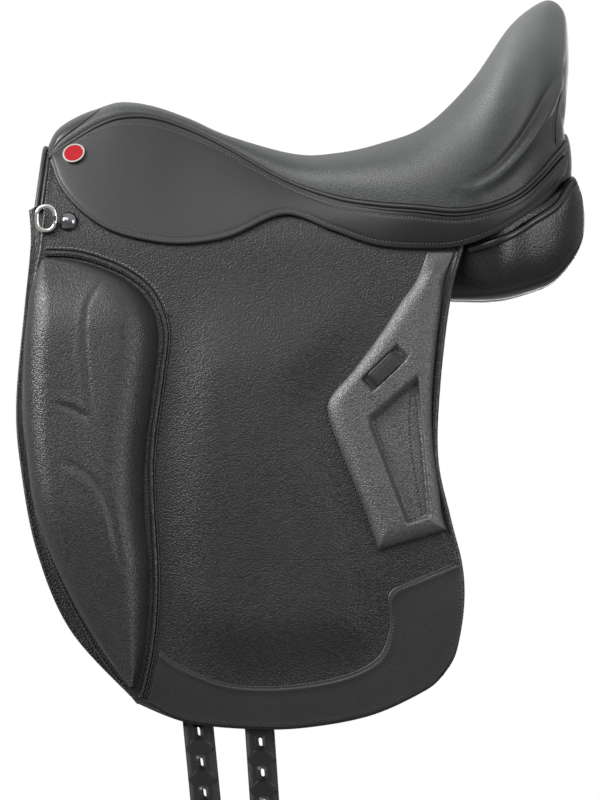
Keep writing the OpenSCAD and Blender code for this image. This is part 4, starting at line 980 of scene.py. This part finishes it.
def flap_band(left, tag):
    """Smooth band sewn along the bottom of the flap."""
    long, wide = BAND_SIZE
    s = lines(120, long, (0.4, 1.0), (0.4, 1.0))
    t = lines(14, wide, (0.25, 0.7, 1.6, BAND_SEWN, 3.6, 4.8), (0.25, 0.7))
    g = on_side(down_grid(BAND_TOP, BAND_FOOT, s, t))
    g = g + normals(g) * SEWN_ON
    top = reach(g, 1, False)
    relief = groove(top, BAND_SEWN, 0.7, 0.5) + 0.6 * np.exp(-((top - 5) / 2) ** 2)
    piece = Piece()
    outer, n = piece.sheet(g, BAND_T, edge_gap(g, 0, 1), relief)
    for place in (BAND_SEWN / wide, 1 - BAND_SEWN_LOW / wide):
        k = nearest_line(t, place)
        piece.stitches(outer[:, k], n[:, k], 1, FINE_STITCH)
    piece.dress("flap_band" + tag, [SMOOTH, THREAD], "smooth_leather", "flap" + tag, left)


SWEAT_SIZE = (370, 400)


def sweat_flap(left, tag):
    """Thin flap under the girth straps, sewn along its free edges."""
    wide, high = SWEAT_SIZE
    s = lines(40, wide, EDGE_ROWS, EDGE_ROWS)
    t = lines(60, high, EDGE_ROWS[:3], EDGE_ROWS)
    g = on_side(patch(SWEAT_FRONT, SWEAT_REAR, SWEAT_TOP, SWEAT_FOOT, s, t))
    g = g - normals(g) * (STRAP_ROOM + SWEAT_T)
    edge = edge_gap(g, 0, 1)
    piece = Piece()
    outer, n = piece.sheet(g, SWEAT_T, edge, groove(edge, SEWN_AT, 1.0, 0.5))
    for place in (SEWN_AT / wide, 1 - SEWN_AT / wide):
        k = nearest_line(s, place)
        piece.stitches(outer[k], n[k], 1, SWEAT_STITCH)
    k = nearest_line(t, 1 - SEWN_AT / high)
    piece.stitches(outer[:, k], n[:, k], 1, SWEAT_STITCH)
    piece.dress("sweat_flap" + tag, [GRAIN, THREAD], "grained_leather", "saddle", left)


# Panels, lining, facings and webs

def panel_point(u, a):
    """Points of the panel: u along it, a round it in radians from its outer side."""
    r = spline(PANEL_ROWS, u)
    e = 2 / 2.6
    ca = np.sign(np.cos(a)) * np.abs(np.cos(a)) ** e
    sa = np.sign(np.sin(a)) * np.abs(np.sin(a)) ** e
    tilt = np.radians(r[..., 5])
    y = r[..., 3] * ca * np.cos(tilt) + r[..., 4] * sa * np.sin(tilt)
    z = r[..., 4] * sa * np.cos(tilt) - r[..., 3] * ca * np.sin(tilt)
    return np.stack([r[..., 0], r[..., 1] + y, r[..., 2] + z], axis=-1)


GUSSET = -0.95


def panel(left, tag):
    """Flocked panel: one long bolster with a seam along its bearing face."""
    u = np.linspace(0, 1, 150)
    a = np.linspace(0, 2 * np.pi, 97)[:-1]
    uu, aa = crossed(u, a)
    g = panel_point(uu, aa)
    du = np.gradient(g, axis=0)
    da = np.roll(g, -1, axis=1) - np.roll(g, 1, axis=1)
    n = unit(np.cross(da, du))
    turn = np.angle(np.exp(1j * (aa - GUSSET)))
    girth = np.linalg.norm(da, axis=-1) * len(a) / 2 / (2 * np.pi)
    full = smooth(0.04, 0.12, uu) * smooth(1.0, 0.94, uu)
    relief = groove(turn * girth, 0, 1.3, 1.6) * full
    g = g + n * relief[..., None]
    piece = Piece()
    piece.add(g, ring_faces(*g.shape[:2]))
    piece.dress("panel" + tag, [PANEL], "panel_leather", "saddle", left, fill=0.85)


PANEL_WELT_R = 3.6


def panel_welt(left, tag):
    """Thick cord along the upper seam of the panel's rear."""
    f = np.linspace(0, 1, 90)
    u, a = lerp(0.6, 0.85, f), np.radians(lerp(4, 48, f * f))
    p = panel_point(u, a)
    n = unit(np.cross(panel_point(u, a + 0.03) - p, panel_point(u + 0.01, a) - p))
    piece = Piece()
    piece.tube(p + n * PANEL_WELT_R, PANEL_WELT_R, (0, 1, 0.3), 14, 0, 0.3)
    piece.dress("panel_welt" + tag, [GLOSS], "smooth_leather", "saddle", left)


LINING_T, LINING_RISE = 3, 4


def gullet_lining():
    """Lining between the panels, arched a little over the horse's spine."""
    rows, columns = 80, 25
    p = panel_point(np.linspace(0.1, 0.86, rows), np.full(rows, np.pi))
    across = np.linspace(-1, 1, columns)
    g = np.stack([
        np.repeat(p[:, :1], columns, 1), (p[:, 1:2] - 0.8) * across,
        p[:, 2:3] + LINING_RISE * (1 - across ** 2)], axis=-1)
    piece = Piece()
    piece.sheet(g - normals(g) * LINING_T / 2, LINING_T, edge_gap(g, 0))
    piece.dress("gullet_lining", [PANEL], "panel_leather", "saddle")


# Facing of the pommel from its foot to the middle: outer and inner edge as y and z, then its front
FACING_OUTER = [(75, 80), (62, 107), (53, 119), (45, 126.5), (34, 132), (0, 135)]
FACING_INNER = [(68, 78), (55, 97), (48, 103), (41, 108), (30, 114), (0, 119)]
FACING_X, FACING_T, FACING_LEAN = -233.8, 3, 0.13


def both_sides(rows):
    """Rows from the left foot over the middle to the right foot."""
    return [(-y, z) for y, z in rows] + rows[-2::-1]


def pommel_facing():
    """Leather over the front of the tree's head, with two rolled edges down each side."""
    t = np.linspace(0, 1, 121)
    outer, inner = spline(both_sides(FACING_OUTER), t), spline(both_sides(FACING_INNER), t)
    v = lines(10, 16, (0.3, 0.9), (0.3, 0.9))
    yz = lerp(outer[:, None], inner[:, None], v[None, :, None])
    x = FACING_X - FACING_T - FACING_LEAN * (FACING_OUTER[-1][1] - yz[..., 1])
    g = np.stack([x, yz[..., 0], yz[..., 1]], axis=-1)
    edge = edge_gap(g, 1)
    drop = round_edge(edge, 1.3) - 0.8 * np.sin(np.pi * v)[None, :]
    back = np.stack([np.full(x.shape, FACING_X), yz[..., 0], yz[..., 1]], axis=-1)
    piece = Piece()
    piece.closed(g + drop[..., None] * (1, 0, 0), back, 0, np.exp(-edge / 2))
    for place, r in ((1.6, 2.2), (6.2, 1.9)):
        piece.tube(g[:, 0] + (place, 0, 0), r, (1, 0, 0), 12, 1, 0.35)
    piece.dress("pommel_facing", [GLOSS, SMOOTH], "smooth_leather", "saddle")


# Middle of the cantle facing as x and z, then half its width, its depth, its height and its bend
CANTLE_X, CANTLE_Z = 227, 119
CANTLE_HALF, CANTLE_DEPTH, CANTLE_HIGH, CANTLE_BEND = 40, 6, 29, 5


def cantle_facing():
    """Small oval pad that closes the back of the tree under the cantle."""
    s = np.linspace(-1, 1, 50)[:, None]
    a = np.linspace(0, 2 * np.pi, 33)[:-1]
    w = np.sqrt(1 - 0.8 * s ** 2)
    rings = np.stack([
        CANTLE_X - CANTLE_BEND * s ** 2 + CANTLE_DEPTH * w * np.cos(a), CANTLE_HALF * s + 0 * a,
        CANTLE_Z + CANTLE_HIGH * w * np.sin(a)], axis=-1)
    piece = Piece()
    piece.add(rings, [f[::-1] for f in ring_faces(*rings.shape[:2], True)])
    piece.dress("cantle_facing", [SMOOTH], "smooth_leather", "saddle", fill=0.8)


POCKET_T, POCKET_GAP, POCKET_ROWS = 2.6, 1.1, (0.3, 0.8)
POCKET_TOP, POCKET_FOOT = [(-212, 66), (-180, 66)], [(-208, 40), (-184, 40)]


def point_pocket(left, tag):
    """Pocket that holds the point of the tree, inside the sweat flap."""
    s, t = lines(12, 30, POCKET_ROWS, POCKET_ROWS), lines(12, 26, POCKET_ROWS, POCKET_ROWS)
    g = on_side(down_grid(POCKET_TOP, POCKET_FOOT, s, t))
    g = g - normals(g) * (STRAP_ROOM + SWEAT_T + POCKET_GAP + POCKET_T)
    piece = Piece()
    piece.sheet(g, POCKET_T, edge_gap(g, 0, 1))
    piece.dress("point_pocket" + tag, [GRAIN], "grained_leather", "saddle", left)


def ground(u, w):
    return arch(GROUND_ROWS, GROUND_DISH, np.atleast_1d(u), np.atleast_1d(w))


def ground_frame(u, w):
    """Points and normals of the tree's ground seat, for places along it or across it."""
    step = 0.01
    along = ground(u + step, w) - ground(u - step, w)
    across = ground(u, w + step) - ground(u, w - step)
    return ground(u, w).reshape(-1, 3), unit(np.cross(along, across)).reshape(-1, 3)


# Thickness of the webs, then width and depth under the ground seat of those along and across it
WEB_T = 1.4
LONG_WEB, CROSS_WEB = (15, 3.1), (30, 4.8)


def seat_webs():
    """Webs strained along and across the tree under the foam."""
    piece = Piece()
    for w in (-0.3, 0.3):
        mid, n = ground_frame(np.linspace(0.13, 0.6, 60), w)
        ribbon(piece, mid - n * LONG_WEB[1], n, LONG_WEB[0], WEB_T)
    piece.dress("seat_webs", [WEB], "webbing", "saddle")
    piece = Piece()
    mid, n = ground_frame(0.36, np.linspace(-0.6, 0.6, 48))
    ribbon(piece, mid - n * CROSS_WEB[1], n, CROSS_WEB[0], WEB_T)
    piece.dress("cross_web", [WEB], "webbing", "saddle")


def ribbon(piece, mid, n, width, thickness):
    """Flat web along a path, with its face on the side of the normals."""
    way = unit(np.gradient(mid, axis=0))
    across = unit(np.cross(n, way))
    places = np.linspace(-0.5, 0.5, 9)
    g = mid[:, None] + across[:, None] * (places * width)[:, None]
    up = np.broadcast_to(n[:, None], g.shape)
    piece.closed(g + up * thickness / 2, g - up * thickness / 2)


def strap_place(k, d, z):
    x = STRAP_X[k] + (BEND_Z - z) * math.tan(math.radians(STRAP_LEAN[k])) + d
    return on_side(np.stack([x, z], axis=-1))


# Places of a strap web as y and z from the tree down, then z where it lies on the strap, and half its width
WEB_HIGH = [(58, 109), (64.5, 94), (73, 62)]
WEB_LOW = (36.0, 11.0, -14.0)
WEB_HALF = 15


def strap_webs():
    """Webs that carry the girth straps, from the tree down to where the straps are sewn on."""
    piece = Piece()
    columns, rows = 9, 50
    d = np.linspace(-WEB_HALF, WEB_HALF, columns)
    for k, x in enumerate(STRAP_X):
        high = [np.stack([x + d, np.full(columns, y), np.full(columns, z)], axis=-1) for y, z in WEB_HIGH]
        low = [strap_place(k, d, np.full(columns, z)) - (0, 7, 0) for z in WEB_LOW]
        guide = np.array([*high, *low])
        path = spline(guide.reshape(len(guide), -1), np.linspace(0, 1, rows))
        g = np.moveaxis(path.reshape(rows, columns, 3), 0, 1)
        n = normals(g) * WEB_T / 2
        piece.closed(g + n, g - n)
        mirror = np.array((1, -1, 1))
        piece.closed(((g + n) * mirror)[:, ::-1], ((g - n) * mirror)[:, ::-1])
    piece.dress("strap_webs", [WEB], "webbing", "saddle")


# Girth straps

STRAP_COLUMNS = (-1, -0.97, -0.9, -0.5, 0, 0.5, 0.9, 0.97, 1)
# Share of the way from the edge of a hole's cell to the hole at which a ring of points lies between
BETWEEN = 0.65


def strap_half(z):
    """Half the strap's width, which narrows towards its tip."""
    return STRAP_W / 2 * (1 - 0.55 * smooth(STRAP_TIP, 0, z - STRAP_FOOT))


def hole_point(at, middle):
    """Point on the rim of an oval buckle hole that faces a point on the edge of its cell."""
    angle = math.atan2(at[1] - middle, at[0] * HOLE_PITCH / STRAP_W)
    d, z = HOLE_W / 2 * math.cos(angle), HOLE_W / 2 * math.sin(angle)
    straight = (HOLE_H - HOLE_W) / 2 * min(1, abs(z) / (0.35 * HOLE_W / 2))
    return d, middle + z + math.copysign(straight, z)


class StrapFace:
    """Drawn points and faces of one side of a strap, with the pairs of points round its rims."""

    def __init__(self):
        self.points, self.faces, self.rims = [], [], []
        self.lefts, self.rights = [], []

    def put(self, d, z):
        self.points.append((d, z))
        return len(self.points) - 1

    def row(self, z):
        return [self.put(c * strap_half(z), z) for c in STRAP_COLUMNS]

    def rim(self, loop):
        self.rims += zip(loop, loop[1:] + loop[:1])

    def plain(self, rows):
        """Faces between rows of points."""
        for a, b in zip(rows, rows[1:]):
            self.faces += [(a[i], a[i + 1], b[i + 1], b[i]) for i in range(len(a) - 1)]

    def holed(self, top, middle):
        """Cell with a hole below a row of points. Gives the row at its foot."""
        heights = middle + HOLE_PITCH / 2 * np.linspace(1, -1, 9)
        lefts = [self.put(-strap_half(z), z) for z in heights[1:-1]]
        rights = [self.put(strap_half(z), z) for z in heights[1:-1]]
        foot = self.row(heights[-1])
        ring = top + rights + foot[::-1] + lefts[::-1]
        hole = [self.put(*hole_point(self.points[i], middle)) for i in ring]
        between = []
        for a, b in zip(ring, hole):
            (d, z), (hole_d, hole_z) = self.points[a], self.points[b]
            between.append(self.put(lerp(d, hole_d, BETWEEN), lerp(z, hole_z, BETWEEN)))
        for i in range(len(ring)):
            j = (i + 1) % len(ring)
            self.faces.append((ring[i], ring[j], between[j], between[i]))
            self.faces.append((between[i], between[j], hole[j], hole[i]))
        self.rim(hole)
        self.lefts += lefts + foot[:1]
        self.rights += rights + foot[-1:]
        return foot


def strap_face(first):
    """One side of a strap whose first hole is at a height."""
    face = StrapFace()
    upper = [face.row(z) for z in np.linspace(STRAP_TOP, first + HOLE_PITCH / 2, 60)]
    face.plain(upper)
    face.lefts, face.rights = [r[0] for r in upper], [r[-1] for r in upper]
    foot = upper[-1]
    for h in range(HOLES):
        foot = face.holed(foot, first - h * HOLE_PITCH)
    below = np.linspace(face.points[foot[0]][1], STRAP_FOOT, 22)[1:]
    lower = [foot] + [face.row(z) for z in below]
    face.plain(lower)
    face.lefts += [r[0] for r in lower[1:]]
    face.rights += [r[-1] for r in lower[1:]]
    face.rim(face.lefts + lower[-1][1:-1] + face.rights[::-1] + upper[0][-2:0:-1])
    return face


def strap(k, left, name):
    """Girth strap with oval buckle holes through it, and cut leather on its edges."""
    face = strap_face(HOLE_Z[k])
    d, z = np.array(face.points).T
    step = 1.0
    across = strap_place(k, d + step, z) - strap_place(k, d - step, z)
    down = strap_place(k, d, z - step) - strap_place(k, d, z + step)
    n = unit(np.cross(across, down))
    g = strap_place(k, d, z)
    depth = (STRAP_ROOM - STRAP_T) / 2
    edge = strap_half(z) - np.abs(d)
    drop = round_edge(edge, 1.0)
    outer, inner = g - n * (depth + drop)[:, None], g - n * (depth + STRAP_T - drop)[:, None]
    size = len(g)
    faces = [f[::-1] for f in face.faces] + [tuple(i + size for i in f) for f in face.faces]
    walls = [(a, b, b + size, a + size) for a, b in face.rims]
    paler = np.exp(-edge / 1.6)
    piece = Piece()
    piece.add(np.concatenate([outer, inner]), faces + walls, 0, np.concatenate([paler, paler]))
    piece.slots[len(faces):] = [1] * len(walls)
    piece.dress(name, [STRAP, RAW], "strap_leather", name, left)


# Carried-over fittings

def paint(material, *nodes):
    for name in nodes:
        mesh = frame["nodes"][name].data
        mesh.materials.clear()
        mesh.materials.append(material)


SIDE_PIECES = (
    welts, skirts, flap, knee_block, knee_welt, thigh_block, keeper, flap_band, sweat_flap, panel,
    panel_welt, point_pocket)

seat()
gullet_lining()
pommel_facing()
cantle_facing()
seat_webs()
strap_webs()
for is_left, tag in ((True, "_left"), (False, "_right")):
    for build in SIDE_PIECES:
        build(is_left, tag)
    strap(0, is_left, "girth_strap_front" + tag)
    strap(1, is_left, "girth_strap_rear" + tag)
    paint(STEEL, "spring_steel" + tag)
    paint(BAR_STEEL, "stirrup_bar" + tag, "stirrup_catch" + tag)
    paint(NICKEL, "dee" + tag)
    paint(DARK_NICKEL, "dee_stud" + tag)
paint(WOOD, "tree_frame")
paint(STEEL, "head_plate", "cantle_plate", "tree_rivets")
paint(BAR_STEEL, "catch_pins")
paint(NICKEL, "badge_rim")
paint(RED, "badge_disc")


# Camera, light and floor

# The photo's scale and middle, in metres on the middle plane
PIXEL = 0.00089
FRAME_H = 800
MIDDLE_X, MIDDLE_Z = -0.0089, -0.089
DISTANCE = 20.0
TILT = -0.5


def camera():
    data = bpy.data.cameras.new("camera")
    data.lens = data.sensor_width * DISTANCE / (FRAME_H * PIXEL)
    data.clip_end = 100
    obj = new_object("camera", data)
    tilt = math.radians(TILT)
    back = Vector((0, -math.cos(tilt), math.sin(tilt)))
    obj.location = Vector((MIDDLE_X, 0, MIDDLE_Z)) + back * DISTANCE
    obj.rotation_euler = (-back).to_track_quat("-Z", "Y").to_euler()
    bpy.context.scene.camera = obj


def lamp(name, place, target, size, power):
    data = bpy.data.lights.new(name, "AREA")
    data.shape = "RECTANGLE"
    data.size, data.size_y = size
    data.energy = power
    obj = new_object(name, data)
    obj.location = place
    obj.rotation_euler = (Vector(target) - Vector(place)).to_track_quat("-Z", "Y").to_euler()


# Brightness of the horizon, and the share of it all that lights the object
HORIZON, AMBIENT = 0.4, 0.28


def world():
    """White to the camera. As light and in reflections, a white ceiling that dims to a grey horizon."""
    n = Nodes(bpy.data.worlds.new("studio"), "Background")
    path = n.add("ShaderNodeLightPath").outputs
    seen = n.math("MAXIMUM", path["Is Camera Ray"], path["Is Transmission Ray"])
    way = n.add("ShaderNodeTexCoord").outputs["Generated"]
    up = n.add("ShaderNodeSeparateXYZ", Vector=way).outputs["Z"]
    sky = n.span(up, HORIZON, 1.0, 0.05, 0.9)
    share = n.span(path["Is Glossy Ray"], AMBIENT, 1.0, 0.0, 1.0)
    strength = n.add("ShaderNodeMix", i0=seen, i2=n.math("MULTIPLY", sky, share), i3=1.0).outputs[0]
    bpy.context.scene.world = n.finish(Color=rgb(1, 1, 1), Strength=strength)


FLOOR_R, FLOOR_GAP = 3.0, 0.02


def floor():
    """Pale to the camera but dark to other rays, so that it throws little light up."""
    r, low = FLOOR_R, cad_box[0][2] - FLOOR_GAP
    mesh = bpy.data.meshes.new("floor")
    mesh.from_pydata([(-r, -r, low), (r, -r, low), (r, r, low), (-r, r, low)], [], [(0, 1, 2, 3)])
    n = Nodes(bpy.data.materials.new("floor_paint"))
    cloud = n.noise(n.place(), 3.0, 3.0)
    seen = n.add("ShaderNodeLightPath").outputs["Is Camera Ray"]
    pale = n.mix(cloud, rgb(0.78, 0.78, 0.78), rgb(0.84, 0.84, 0.84))
    mesh.materials.append(n.finish(
        Base_Color=n.mix(seen, rgb(0.25, 0.25, 0.25), pale),
        Roughness=n.span(cloud, 0.7, 0.85)))
    new_object("floor", mesh)


camera()
world()
floor()
lamp("key", (-0.9, -1.7, 1.6), (0, -0.1, -0.05), (1.0, 1.0), 14)
lamp("left", (-2.2, -0.75, 1.6), (0.1, -0.05, 0.05), (1.4, 1.4), 112)
lamp("fill", (1.6, -1.5, 0.5), (0.05, -0.1, 0), (0.9, 1.2), 20)
lamp("far_side", (0.3, 2.1, 0.0), (0, 0.1, -0.1), (1.0, 0.8), 16)
bpy.context.scene.view_settings.view_transform = "Standard"
